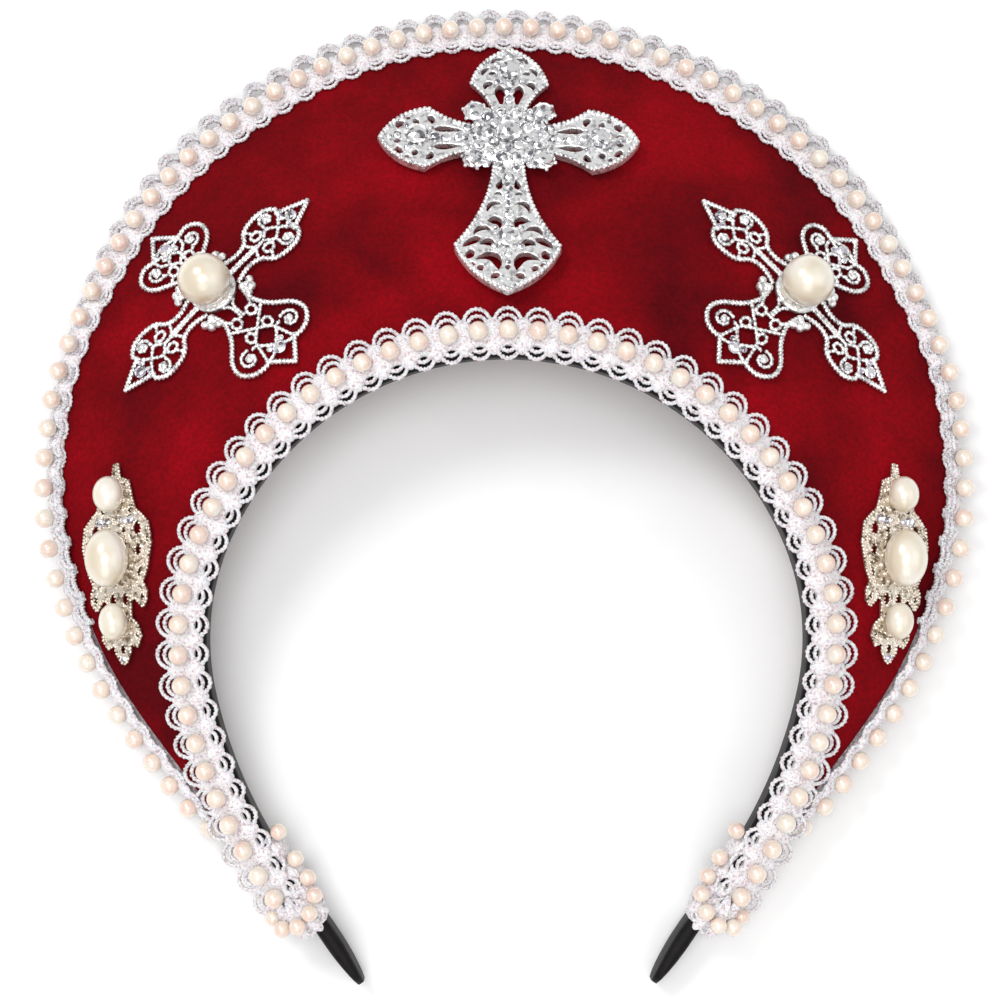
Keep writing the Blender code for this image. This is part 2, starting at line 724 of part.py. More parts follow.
def cut_stone(x, y, seat):
    """A round stone with a table, a ring of crown facets, a girdle and a flat foil back."""
    profile = ((0.86, 0.0), (1.0, 0.5), (1.0, 0.8), (0.52, 1.7))
    body = bmesh.new()
    rings = []
    for share, height in profile:
        ring = []
        for i in range(STONE_SIDES):
            angle = 2.0 * math.pi * i / STONE_SIDES
            ring.append(body.verts.new((
                (x + share * STONE_RADIUS * math.cos(angle)) * MM,
                (y + share * STONE_RADIUS * math.sin(angle)) * MM,
                seat + height * MM,
            )))
        rings.append(ring)
    for ring, following in zip(rings, rings[1:]):
        for i in range(STONE_SIDES):
            after = (i + 1) % STONE_SIDES
            body.faces.new((ring[i], ring[after], following[after], following[i]))
    body.faces.new(list(reversed(rings[0])))
    body.faces.new(rings[-1])
    mesh = bpy.data.meshes.new("stone")
    body.to_mesh(mesh)
    body.free()
    return mesh


def make_cross_stones(finish, group):
    """The boss stone, one on each arm and one in each corner of the cross."""
    places = [("boss", (0.0, 0.0), CROSS_THICKNESS + CROSS_BOSS_RISE)]
    for (name, *_), place in zip(CROSS_ARMS, arm_places()):
        places.append((f"arm_{name}", place, CROSS_THICKNESS + SEAT_RISE))
    for i, place in enumerate(corner_places()):
        places.append((f"corner_{i + 1}", place, CROSS_THICKNESS + SEAT_RISE))
    for name, (x, y), seat in places:
        mesh = laid_on_plate(cut_stone(x, y, seat + AIR), CROSS_PLACE, rigid=True)
        add(f"cross_stone_{name}", mesh, finish, group)


def arm_outline(rows, degrees):
    """One filigree arm from hub to tip and back, its line turned to degrees."""
    lower = [(x, -half) for x, half in rows]
    upper = [(x, half) for x, half in reversed(rows)]
    return turned(lower + upper, degrees)


def filigree_mesh():
    """The filigree cross laid flat: four scrolled arms round a hub, pierced between the wires."""
    arms = (
        (0.0, SIDE_ARM, SIDE_ARM_GAPS, SIDE_ARM_MIDDLE_GAPS),
        (90.0, TOP_ARM, TOP_ARM_GAPS, TOP_ARM_MIDDLE_GAPS),
        (180.0, SIDE_ARM, SIDE_ARM_GAPS, SIDE_ARM_MIDDLE_GAPS),
        (270.0, BOTTOM_ARM, BOTTOM_ARM_GAPS, BOTTOM_ARM_MIDDLE_GAPS),
    )
    outline, gaps = [], []
    for degrees, rows, pairs, middles in arms:
        outline += arm_outline(rows, degrees)
        outline += turned([(FILIGREE_CORNER, FILIGREE_CORNER)], degrees)
        gaps += [turned(points, degrees) for points in both_sides(pairs) + on_line(middles)]
    plate = pierced("filigree", [outline] + gaps, FILIGREE_THICKNESS)
    collar = disc(0.0, 0.0, FILIGREE_COLLAR, 0.3 * MM, FILIGREE_THICKNESS + COLLAR_RISE, 12)
    return fused([plate, collar])


def cabochon(x, y, half_width, half_height, centre, seat):
    """A ball-like pearl cut flat at its back, sizes in mm and seat in metres."""
    lowest = -math.asin(min(1.0, centre / max(half_width, centre + 0.1)))
    body = bmesh.new()
    loops = []
    for j in range(PEARL_RINGS):
        angle = lowest + (0.5 * math.pi - lowest) * j / PEARL_RINGS
        loop = []
        for i in range(PEARL_SIDES):
            turn = 2.0 * math.pi * i / PEARL_SIDES
            loop.append(body.verts.new((
                (x + half_width * math.cos(angle) * math.cos(turn)) * MM,
                (y + half_height * math.cos(angle) * math.sin(turn)) * MM,
                seat + (half_width * math.sin(angle) - half_width * math.sin(lowest)) * MM,
            )))
        loops.append(loop)
    crown = body.verts.new((x * MM, y * MM, seat + half_width * (1.0 - math.sin(lowest)) * MM))
    for loop, following in zip(loops, loops[1:]):
        for i in range(PEARL_SIDES):
            after = (i + 1) % PEARL_SIDES
            body.faces.new((loop[i], loop[after], following[after], following[i]))
    for i in range(PEARL_SIDES):
        body.faces.new((loops[-1][i], loops[-1][(i + 1) % PEARL_SIDES], crown))
    body.faces.new(list(reversed(loops[0])))
    mesh = bpy.data.meshes.new("pearl")
    body.to_mesh(mesh)
    body.free()
    for polygon in mesh.polygons:
        polygon.use_smooth = len(polygon.vertices) < PEARL_SIDES
    return mesh


def drop_mesh():
    """The filigree drop laid flat: a spike, two wings, feet and a lower claw."""
    right = [(half, y) for y, half in DROP_OUTLINE]
    left = [(-half, y) for y, half in reversed(DROP_OUTLINE)]
    gaps = []
    for _, y, x, length, width, degrees in DROP_GAPS:
        gaps.append(leaf(x, y, length, width, 90.0 + degrees))
        gaps.append(leaf(-x, y, length, width, 90.0 - degrees))
    gaps += [leaf(0.0, y, length, width, 90.0) for _, y, length, width in DROP_MIDDLE_GAPS]
    return pierced("drop", [list(reversed(right + left))] + gaps, DROP_THICKNESS)


def make_side_ornaments(silver, pearl, group):
    """A filigree cross and a filigree drop on each side, with their pearls."""
    for side, mirrored in (("left", True), ("right", False)):
        mesh = cut_up(filigree_mesh(), CUT_PITCH)
        mesh = laid_on_plate(mesh, FILIGREE_PLACE, mirrored, lift=BENT_AIR)
        add(f"{side}_filigree_cross", mesh, silver, group)
        half_width, half_height, centre = CROSS_PEARL
        seat = FILIGREE_THICKNESS + COLLAR_RISE + AIR
        mesh = cabochon(0.0, 0.0, half_width, half_height, centre, seat)
        mesh = laid_on_plate(mesh, FILIGREE_PLACE, mirrored, lift=BENT_AIR)
        add(f"{side}_cross_pearl", mesh, pearl, group)
        mesh = cut_up(drop_mesh(), CUT_PITCH)
        mesh = laid_on_plate(mesh, DROP_PLACE, mirrored, lift=BENT_AIR)
        add(f"{side}_drop", mesh, silver, group)
        for name, y, half_width, half_height, centre in DROP_PEARLS:
            mesh = cabochon(0.0, y, half_width, half_height, centre, DROP_THICKNESS + AIR)
            mesh = laid_on_plate(mesh, DROP_PLACE, mirrored, lift=BENT_AIR)
            add(f"{side}_drop_pearl_{name}", mesh, pearl, group)


def lay_down(group):
    """Tilts the crown onto its rim and tips, and centres it over the origin, standing on Z = 0."""
    pivot = bpy.data.objects.new("lying_crown", None)
    group.objects.link(pivot)
    pivot.rotation_euler = (REST_TILT, 0.0, 0.0)
    parts = [part for part in group.objects if part is not pivot]
    for part in parts:
        part.parent = pivot
    bpy.context.view_layer.update()
    graph = bpy.context.evaluated_depsgraph_get()
    low, high = Vector((1.0, 1.0, 1.0)), Vector((-1.0, -1.0, -1.0))
    for part in parts:
        shown = part.evaluated_get(graph)
        mesh = shown.to_mesh()
        for vertex in mesh.vertices:
            point = shown.matrix_world @ vertex.co
            low = Vector(map(min, low, point))
            high = Vector(map(max, high, point))
        shown.to_mesh_clear()
    pivot.location = (-0.5 * (low.x + high.x), -0.5 * (low.y + high.y), -low.z)
    bpy.context.view_layer.update()
    print("crown pivot", [round(v / MM, 3) for v in pivot.location])
    print("crown size", [round(v / MM, 2) for v in high - low])


def build():
    for part in list(bpy.data.objects):
        bpy.data.objects.remove(part)
    group = bpy.data.collections.new("crown_headdress")
    bpy.context.scene.collection.children.link(group)
    satin = material("black_satin", (0.012, 0.011, 0.013), 0.38)
    velvet = material("red_velvet", (0.32, 0.003, 0.012), 0.9)
    lace = material("white_lace", (0.82, 0.79, 0.82), 0.75)
    bead = material("bead_pearl", (0.86, 0.76, 0.68), 0.22, coat=0.6)
    silver = material("silver_plate", (0.86, 0.85, 0.84), 0.24, metallic=1.0)
    crystal = material("crystal", (0.93, 0.94, 0.96), 0.05, coat=1.0)
    pearl = material("cabochon_pearl", (0.87, 0.81, 0.68), 0.16, coat=0.7)
    make_hairband(satin, group)
    make_plate(velvet, group)
    make_inner_braid(lace, group)
    make_outer_braid(lace, group)
    make_braid_tails(lace, group)
    make_inner_string(bead, group)
    make_outer_string(bead, group)
    make_cross(silver, group)
    make_cross_stones(crystal, group)
    make_side_ornaments(silver, pearl, group)
    lay_down(group)


build()
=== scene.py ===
# %% [markdown]
# # A crown headdress, dressed for its portrait
# The real thing is a folk-dress crown: a stiff crescent board on a hairband, covered in red
# velvet, edged with pearl lace and set with a pierced cross, wire filigree and pearl drops.
# The solids come in as a fixed frame. Every step below lays one finish or ornament over them.

# %% Load the frame and measure it
import functools
import math
import random
import bmesh
import bpy
from mathutils import Matrix, Vector, noise


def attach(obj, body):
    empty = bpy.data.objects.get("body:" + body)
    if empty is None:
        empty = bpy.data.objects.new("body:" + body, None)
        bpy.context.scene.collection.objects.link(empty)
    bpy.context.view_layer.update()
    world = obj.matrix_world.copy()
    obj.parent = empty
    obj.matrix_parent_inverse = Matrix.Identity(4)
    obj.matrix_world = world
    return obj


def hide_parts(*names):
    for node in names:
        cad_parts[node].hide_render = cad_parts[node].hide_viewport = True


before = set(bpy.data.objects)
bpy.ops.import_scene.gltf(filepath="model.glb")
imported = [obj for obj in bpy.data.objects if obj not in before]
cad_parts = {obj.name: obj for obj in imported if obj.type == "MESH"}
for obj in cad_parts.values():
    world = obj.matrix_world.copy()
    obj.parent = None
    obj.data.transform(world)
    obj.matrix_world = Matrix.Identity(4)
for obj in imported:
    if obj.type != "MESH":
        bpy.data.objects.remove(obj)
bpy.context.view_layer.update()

MM = 0.001
print("solids in the frame:", len(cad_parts))

# %% [markdown]
# ## The wearer's frame
# The crown was drawn as it is worn, with the hairband upright, and then laid on its back. It is
# easier to draw ornaments in the upright frame, so everything below is made there and one
# matrix, LAY, puts each finished mesh down on the floor.

# %% From the wearer's frame to the floor
REST_TILT = math.radians(10.204)
REST_PLACE = Vector((0.0, -42.675, 21.033)) * MM
LAY = Matrix.Translation(REST_PLACE) @ Matrix.Rotation(REST_TILT, 4, "X")
print("lying crown leans back", round(math.degrees(REST_TILT), 2), "degrees")

# %% [markdown]
# ## Camera, floor and light
# The photograph looks straight along the hairband's axis from about half a metre, against
# plain white. A pale floor and four large soft lamps give the same even light, and the
# smallest of them is to the upper left, because the pearls carry their highlights there.

# %% Camera
VIEW_DISTANCE = 500.0 * MM
VIEW_WIDTH = 220.2 * MM              # what the picture takes in at that distance
VIEW_AIM = Vector((-1.65, 35.3, 0.0)) * MM
VIEW_STEP = -10.0 * MM               # the camera stands this far to the left of its aim

camera_data = bpy.data.cameras.new("camera")
camera_data.angle = 2.0 * math.atan(0.5 * VIEW_WIDTH / VIEW_DISTANCE)
camera = bpy.data.objects.new("camera", camera_data)
bpy.context.scene.collection.objects.link(camera)
bpy.context.scene.camera = camera
eye = LAY @ (VIEW_AIM + Vector((VIEW_STEP, 0.0, VIEW_DISTANCE)))
toward = (LAY @ VIEW_AIM - eye).normalized()
image_up = LAY.to_3x3() @ Vector((0.0, 1.0, 0.0))
sideways = toward.cross(image_up).normalized()
upright = sideways.cross(toward)
camera.matrix_world = Matrix((
    (sideways.x, upright.x, -toward.x, eye.x),
    (sideways.y, upright.y, -toward.y, eye.y),
    (sideways.z, upright.z, -toward.z, eye.z),
    (0.0, 0.0, 0.0, 1.0),
))
print("camera height over the floor in mm:", round(eye.z / MM))

# %% Floor
FLOOR_HALF = 3.0
floor_mesh = bpy.data.meshes.new("floor")
floor_mesh.from_pydata(
    [(-FLOOR_HALF, -FLOOR_HALF, 0.0), (FLOOR_HALF, -FLOOR_HALF, 0.0),
     (FLOOR_HALF, FLOOR_HALF, 0.0), (-FLOOR_HALF, FLOOR_HALF, 0.0)],
    [], [(0, 1, 2, 3)],
)
floor = bpy.data.objects.new("floor", floor_mesh)
bpy.context.scene.collection.objects.link(floor)
print("floor width in metres:", 2.0 * FLOOR_HALF)

# %% Lamps
LAMPS = (
    # lamp, place in metres, width in metres, watts
    ("key", (-0.62, 0.55, 1.15), 0.40, 5.4),
    ("overhead", (-0.12, -0.20, 1.30), 0.70, 6.4),
    ("fill", (0.95, -0.10, 0.95), 0.90, 1.6),
    ("front", (-0.10, -0.95, 0.90), 0.80, 2.6),
)
for name, place, width, watts in LAMPS:
    lamp_data = bpy.data.lights.new(name, "AREA")
    lamp_data.shape = "SQUARE"
    lamp_data.size = width
    lamp_data.energy = watts
    lamp = bpy.data.objects.new(name, lamp_data)
    lamp.location = place
    lamp.rotation_euler = (-Vector(place)).to_track_quat("-Z", "Y").to_euler()
    bpy.context.scene.collection.objects.link(lamp)

WORLD_STRENGTH = 0.54
world = bpy.data.worlds.new("studio")
world.use_nodes = True
backdrop = world.node_tree.nodes["Background"]
backdrop.inputs["Color"].default_value = (1.0, 1.0, 1.0, 1.0)
backdrop.inputs["Strength"].default_value = WORLD_STRENGTH
bpy.context.scene.world = world
bpy.context.scene.view_settings.view_transform = "Standard"
print("lamps:", ", ".join(name for name, *_ in LAMPS))

# %% [markdown]
# ## Materials
# A finish starts from what the real one is and how it was made. Colours are written as the
# sRGB hex values that one would read off a swatch, and one function turns them to the linear
# numbers that a shader works with. Pattern scales are worked out from sizes in millimetres.

# %% Colour and node helpers
def linear(hex_color):
    """An sRGB hex value as the linear RGBA that shaders take."""
    shades = [int(hex_color[i:i + 2], 16) / 255.0 for i in (1, 3, 5)]
    light = [c / 12.92 if c <= 0.04045 else ((c + 0.055) / 1.055) ** 2.4 for c in shades]
    return (*light, 1.0)


def add_node(tree, kind, settings=None, **inputs):
    """Adds a node. Settings are its properties, and inputs are values or sockets to link, with
    underscores for the spaces in their names."""
    made = tree.nodes.new(kind)
    for name, value in (settings or {}).items():
        setattr(made, name, value)
    for name, value in inputs.items():
        socket = next(s for s in made.inputs if s.name.replace(" ", "_") == name and s.enabled)
        if isinstance(value, bpy.types.NodeSocket):
            tree.links.new(value, socket)
        else:
            socket.default_value = value
    return made


def new_finish(name, **values):
    """A material with its shader's own constants set, and the coordinates that patterns read."""
    finish = bpy.data.materials.new(name)
    finish.use_nodes = True
    tree = finish.node_tree
    shader = tree.nodes["Principled BSDF"]
    for socket, value in values.items():
        shader.inputs[socket.replace("_", " ")].default_value = value
    place = add_node(tree, "ShaderNodeTexCoord").outputs["Object"]
    print("finish:", name)
    return finish, tree, shader, place


def per_size(millimetres):
    """Noise scale whose blotches are about this wide."""
    return 1.0 / (millimetres * MM)


def blotches(tree, place, millimetres, detail):
    """A soft noise pattern whose blotches are about this wide."""
    noise_node = add_node(
        tree, "ShaderNodeTexNoise", Vector=place, Scale=per_size(millimetres), Detail=detail,
    )
    return noise_node.outputs["Fac"]


def calculate(tree, operation, *values):
    """A sum of numbers or sockets, in the order in which its node takes them."""
    node = add_node(tree, "ShaderNodeMath", {"operation": operation})
    for socket, value in zip(node.inputs, values):
        if isinstance(value, bpy.types.NodeSocket):
            tree.links.new(value, socket)
        else:
            socket.default_value = value
    return node.outputs[0]


def color_steps(tree, factor, *steps):
    """A colour ramp from pairs of position and hex colour."""
    ramp = add_node(tree, "ShaderNodeValToRGB", Fac=factor)
    while len(ramp.color_ramp.elements) < len(steps):
        ramp.color_ramp.elements.new(0.5)
    for element, (position, color) in zip(ramp.color_ramp.elements, steps):
        element.position = position
        element.color = linear(color)
    return ramp.outputs["Color"]


def painted(tree, shader, factor, *steps):
    """Gives a shader the colours of a ramp over a pattern."""
    tree.links.new(color_steps(tree, factor, *steps), shader.inputs["Base Color"])


def bumped(tree, shader, height, depth):
    """Lets a height pattern of this depth in metres turn the surface."""
    bump = add_node(tree, "ShaderNodeBump", Height=height, Distance=depth, Strength=1.0)
    tree.links.new(bump.outputs["Normal"], shader.inputs["Normal"])


print("the middle grey #808080 is", round(linear("#808080")[0], 3), "in linear light")

# %% Floor paper
# Matt white seamless paper: almost no gloss, so it takes only a faint soft shadow.
paper, tree, shader, place = new_finish("seamless_paper", Roughness=0.9, Specular_IOR_Level=0.2)
painted(tree, shader, blotches(tree, place, 40.0, 2.0), (0.3, "#F6F6F6"), (0.7, "#FBFBFB"))
floor_mesh.materials.append(paper)

# %% Velvet
# Crushed-pile cotton velvet, dyed an even deep red, with a soft red sheen at grazing angles and no
# shine of its own. Its wide darker and brighter blotches are painted shade and painted sheen of the
# pile: darker where one would look into it, brighter where it would lean and catch the light.
velvet, tree, shader, place = new_finish(
    "pile_velvet", Roughness=0.95, Specular_IOR_Level=0.12, Sheen_Weight=0.06, Sheen_Roughness=0.4,
    Sheen_Tint=linear("#E02434"),
)
# Wide blotches, about 26 mm across, that place the painted shade and painted sheen of the crushed pile.
lean = blotches(tree, place, 26.0, 3.0)
pile = blotches(tree, place, 0.9, 2.0)
painted_sheen_and_shade = color_steps(tree, lean, (0.34, "#5A0009"), (0.5, "#78000B"), (0.68, "#930010"))
tufts = color_steps(tree, pile, (0.3, "#D8D8D8"), (0.7, "#FFFFFF"))
mottled = add_node(tree, "ShaderNodeMix", {"data_type": "RGBA", "blend_type": "MULTIPLY"})
mottled.inputs[0].default_value = 1.0
tree.links.new(painted_sheen_and_shade, mottled.inputs[6])
tree.links.new(tufts, mottled.inputs[7])
tree.links.new(mottled.outputs[2], shader.inputs["Base Color"])
bumped(tree, shader, pile, 0.25 * MM)

# %% Satin ribbon
# Black polyester satin: smooth floats of thread give it a soft broad gloss, and the wrap
# leaves faint ripples a few millimetres apart.
satin, tree, shader, place = new_finish(
    "black_satin_ribbon", Roughness=0.5, Specular_IOR_Level=0.16, Sheen_Weight=0.02,
    Sheen_Roughness=0.4, Sheen_Tint=linear("#6A5A5E"),
)
WEAVE_SHARE = 0.15                   # how much the weave adds to the ripples
wrap = blotches(tree, place, 5.0, 2.0)
weave = blotches(tree, place, 0.4, 1.0)
painted(tree, shader, wrap, (0.3, "#0A0809"), (0.7, "#171213"))
bumped(tree, shader, calculate(tree, "MULTIPLY_ADD", weave, WEAVE_SHARE, wrap), 0.5 * MM)

# %% Lace thread
# Crocheted white cotton with an iridescent film thread run in: bright white with faint pink and ice
# blue tints, fuzzy at the scale of one twist. Its darker grey-pink and grey-blue specks are painted
# shade between the stitches.
lace, tree, shader, place = new_finish(
    "crochet_thread", Roughness=0.5, Specular_IOR_Level=0.5, Sheen_Weight=0.1, Sheen_Roughness=0.5,
    Subsurface_Weight=0.1, Subsurface_Scale=1.0 * MM,
)
# Both dark ends of this ramp are painted shade between stitches; its pale middle is the thread's white
# and tints.
painted(
    tree, shader, blotches(tree, place, 0.7, 2.0),
    (0.30, "#C4B2BA"), (0.42, "#E9DFE4"), (0.52, "#F6F3F5"), (0.62, "#F4F4F7"), (0.74, "#C6CEDA"),
)
bumped(tree, shader, blotches(tree, place, 0.6, 2.0), 0.55 * MM)

# %% Small pearls
# Moulded beads with a pearl lacquer: ivory with a pink blush, a soft body under a clear coat.
bead, tree, shader, place = new_finish(
    "pearl_lacquer", Roughness=0.34, Specular_IOR_Level=0.8, Coat_Weight=1.0, Coat_Roughness=0.12,
    Coat_IOR=1.9, Subsurface_Weight=0.1, Subsurface_Scale=1.0 * MM,
)
blush = blotches(tree, place, 5.0, 1.0)
painted(tree, shader, blush, (0.35, "#EBCFC0"), (0.5, "#EFDCCB"), (0.68, "#EEE4D6"))
bumped(tree, shader, blotches(tree, place, 1.4, 0.0), 0.012 * MM)

# %% Cabochon pearls
# Larger flat-backed pearls of the same lacquer, creamier and smoother.
cream, tree, shader, place = new_finish(
    "cream_pearl_lacquer", Roughness=0.32, Specular_IOR_Level=1.0, Coat_Weight=1.0,
    Coat_Roughness=0.24, Coat_IOR=2.0, Subsurface_Weight=0.08, Subsurface_Scale=2.0 * MM,
)
clouds = blotches(tree, place, 7.0, 1.0)
painted(tree, shader, clouds, (0.35, "#DED0B6"), (0.5, "#E8DECA"), (0.7, "#EFE8DB"))
bumped(tree, shader, clouds, 0.05 * MM)

# %% Silver plate
# Bright silver plate over a zinc casting: nearly all metal, slightly rippled by the casting,
# a little duller in small random patches.
def silver_finish(name, dark, light, roughness):
    """Plated metal whose casting ripples break up its reflections."""
    finish, tree, shader, place = new_finish(name, Metallic=0.82, Roughness=roughness)
    painted(tree, shader, blotches(tree, place, 1.3, 2.0), (0.34, dark), (0.5, light))
    bumped(tree, shader, blotches(tree, place, 0.9, 1.0), 0.3 * MM)
    return finish


silver = silver_finish("bright_silver_plate", "#BDBBBD", "#FFFFFF", 0.32)
warm_silver = silver_finish("champagne_silver_plate", "#8E7E6A", "#F6ECDF", 0.27)

# %% Rhinestones
# Cut glass with a foil back: it throws light back like a mirror and picks up a trace of the
# colours round it. Its facet by facet sparkle is painted: small cells run from dark grey through the
# stone's tint to white, painted reflections and glints.
def stone_finish(name, color):
    """Foiled glass with painted facet reflections: cells from dark grey to white about its own tint."""
    finish, tree, shader, place = new_finish(
        name, Metallic=0.85, Roughness=0.04, Coat_Weight=1.0, Coat_Roughness=0.02,
    )
    facets = add_node(tree, "ShaderNodeTexVoronoi", Vector=place, Scale=per_size(0.9)).outputs["Color"]
    # Painted glints and painted dark reflections: each cell is coloured dark grey, the tint or white.
    painted(tree, shader, facets, (0.24, "#84828A"), (0.36, color), (0.48, "#FFFFFF"))
    return finish


rhinestone = stone_finish("foiled_rhinestone", "#D6D8DE")
violet_stone = stone_finish("violet_tinted_rhinestone", "#E3D6F2")
print("finishes:", sorted(m.name for m in bpy.data.materials if m.users or m.use_nodes))

# %% [markdown]
# ## The shapes that everything lies on
# The hairband and the crescent's rim are two outlines made of arcs and straights that meet
# without a corner, and the velvet face falls away behind the band like a shallow dish. The
# same few functions that drew the solids are repeated here, so every stitch and bead can be
# placed by its distance along an edge and its distance across it.

# %% Outlines
BAND_TOP = 66.8 * MM
BAND_ROWS = (
    # stretch, radius in mm (0 is straight), turn in degrees, length in mm of a straight
    ("crown", 67.3, 66.0, 0.0),
    ("temple", 55.0, 36.5, 0.0),
    ("cheek", 107.0, 21.5, 0.0),
    ("end", 0.0, 0.0, 32.0),
)
RIM_TOP = 148.3 * MM
RIM_ROWS = (
    ("crown", 101.9, 88.5, 0.0),
    ("shoulder", 96.9, 37.7, 0.0),
    ("cheek", 215.0, 2.3, 0.0),
    ("run", 0.0, 0.0, 45.6),
)


class HalfPath:
    """The right half of an outline, which starts at the top and runs to +X."""

    def __init__(self, top, rows):
        self.pieces = []
        self.length = 0.0
        start, turn = Vector((0.0, top)), 0.0
        for _, radius, degrees, straight in rows:
            radius, degrees, straight = radius * MM, math.radians(degrees), straight * MM
            length = radius * degrees or straight
            centre = start - radius * self.outward(turn)
            self.pieces.append((start, turn, radius, centre, length, degrees))
            if radius:
                start = centre + radius * self.outward(turn + degrees)
            else:
                start = start + length * self.onward(turn)
            turn += degrees
            self.length += length

    @staticmethod
    def outward(turn):
        return Vector((math.sin(turn), math.cos(turn)))

    @staticmethod
    def onward(turn):
        return Vector((math.cos(turn), -math.sin(turn)))

    def at(self, distance, offset=0.0):
        """Point at a distance along the path, offset outwards. A negative distance is on the left."""
        side, left = (-1.0 if distance < 0.0 else 1.0), abs(distance)
        for start, turn, radius, centre, length, _ in self.pieces:
            if left <= length or (start, turn) == self.pieces[-1][:2]:
                break
            left -= length
        if radius:
            point = centre + (radius + offset) * self.outward(turn + left / radius)
        else:
            point = start + left * self.onward(turn) + offset * self.outward(turn)
        return Vector((side * point.x, point.y))

    def gap(self, x, y):
        """Signed distance of (x, y) from the path, positive outside it."""
        point = Vector((abs(x), y))
        for start, turn, radius, centre, length, degrees in self.pieces:
            last = (start, turn) == self.pieces[-1][:2]
            if radius:
                away = point - centre
                if math.atan2(away.x, away.y) <= turn + degrees or last:
                    return away.length - radius
            else:
                away = point - start
                if away.dot(self.onward(turn)) <= length or last:
                    return away.dot(self.outward(turn))
        return 0.0


BAND = HalfPath(BAND_TOP, BAND_ROWS)
RIM = HalfPath(RIM_TOP, RIM_ROWS)
print("band and rim, half lengths in mm:", round(BAND.length / MM, 1), round(RIM.length / MM, 1))

# %% The velvet face
BAND_THICKNESS = 2.6 * MM
PLATE_THICKNESS = 3.0 * MM
SLOPE_INNER = math.radians(22.0)
SLOPE_OUTER = math.radians(38.0)
SLOPE_SPAN = 82.0 * MM
AIR = 0.3 * MM


def fall(reach):
    """How far the dish has dropped at a reach from the band's outer face."""
    growth = (SLOPE_OUTER - SLOPE_INNER) / SLOPE_SPAN
    slope = SLOPE_INNER + growth * max(reach, 0.0)
    return (math.log(math.cos(SLOPE_INNER)) - math.log(math.cos(slope))) / growth


def face(x, y):
    """The velvet's front face over (x, y)."""
    return Vector((x, y, -fall(BAND.gap(x, y) - BAND_THICKNESS)))


def face_normal(x, y):
    step = 0.5 * MM
    across = face(x + step, y) - face(x - step, y)
    up = face(x, y + step) - face(x, y - step)
    return across.cross(up).normalized()


def over(point, lift):
    """A point lifted off the front face along its normal."""
    return face(point.x, point.y) + lift * face_normal(point.x, point.y)


print("the face falls back", round(-face(0.0, RIM_TOP).z / MM, 1), "mm up to the rim's top")

# %% Meshes from sections
def spread(low, high, count):
    """Evenly spaced values from low to high, both included."""
    return [low + (high - low) * i / (count - 1) for i in range(count)]


def smoothly(share):
    share = max(0.0, min(1.0, share))
    return share * share * (3.0 - 2.0 * share)


def full_turn(count, shift=0.0):
    """Angles evenly once round, each moved on by a share of their spacing."""
    return [2.0 * math.pi * (i + shift) / count for i in range(count)]


def as_mesh(name, body):
    mesh = bpy.data.meshes.new(name)
    body.to_mesh(mesh)
    body.free()
    return mesh


def loft(name, sections):
    """A closed body through like closed sections, capped at both ends, laid on the floor."""
    body = bmesh.new()
    rings = [[body.verts.new(point) for point in section] for section in sections]
    for ring, following in zip(rings, rings[1:]):
        for i, corner in enumerate(ring):
            after = (i + 1) % len(ring)
            body.faces.new((corner, ring[after], following[after], following[i]))
    body.faces.new(list(reversed(rings[0])))
    body.faces.new(rings[-1])
    bmesh.ops.recalc_face_normals(body, faces=body.faces)
    mesh = as_mesh(name, body)
    mesh.transform(LAY)
    mesh.shade_smooth()
    return mesh


def add_piece(name, mesh, finish, slot, *nodes):
    """Puts a mesh in the scene as a piece of the crown that stands for the named solids."""
    mesh.materials.clear()
    mesh.materials.append(finish)
    piece = bpy.data.objects.new(name, mesh)
    bpy.context.scene.collection.objects.link(piece)
    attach(piece, "root")
    if nodes:
        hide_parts(*nodes)
    print(name, "triangles:", sum(len(p.vertices) - 2 for p in mesh.polygons))


def mirror_mesh(mesh, name):
    """The left twin of a right-hand mesh."""
    twin = mesh.copy()
    twin.name = name
    twin.transform(Matrix.Scale(-1.0, 4, (1.0, 0.0, 0.0)))
    twin.flip_normals()
    return twin


def add_pair(name, mesh, finish, slot, *nodes):
    """Adds a right-hand mesh and its left twin."""
    add_piece("right_" + name, mesh, finish, slot, *["right_" + n for n in nodes])
    twin = mirror_mesh(mesh, "left_" + name)
    add_piece("left_" + name, twin, finish, slot, *["left_" + n for n in nodes])


# %% [markdown]
# ## Satin hairband
# A plastic strip bent on edge and wrapped in black ribbon, so its edges are soft and round.
# It is a loft: one rounded section repeated along the band. A sweep of a curve could do it
# too, but a loft lets the last centimetre narrow to the rounded tip, where the ribbon is
# folded over and the strip gets a step in its width.

# %% Hairband
BAND_WIDTH = 9.0 * MM
BAND_FRONT = -0.3 * MM
BAND_TIP_LENGTH = 7.0 * MM
BAND_TIP_SHARE = 0.55
BAND_ROUNDING = 0.42                 # edge radius as a share of the thickness
RIBBON_FOLD = 24.0 * MM              # the ribbon's end fold starts this far before the tip
FOLD_RISE = 0.55 * MM                # how much thicker the folded end is on each side
TIP_TAPER = 11.0 * MM


def rounded_box(half_across, half_along, radius, steps):
    """Once round a rectangle with round corners, about its middle."""
    points = []
    for quarter, (sx, sy) in enumerate(((1, 1), (-1, 1), (-1, -1), (1, -1))):
        for i in range(steps + 1):
            angle = 0.5 * math.pi * (quarter + i / steps)
            points.append((
                sx * (half_across - radius) + radius * math.cos(angle),
                sy * (half_along - radius) + radius * math.sin(angle),
            ))
    return points


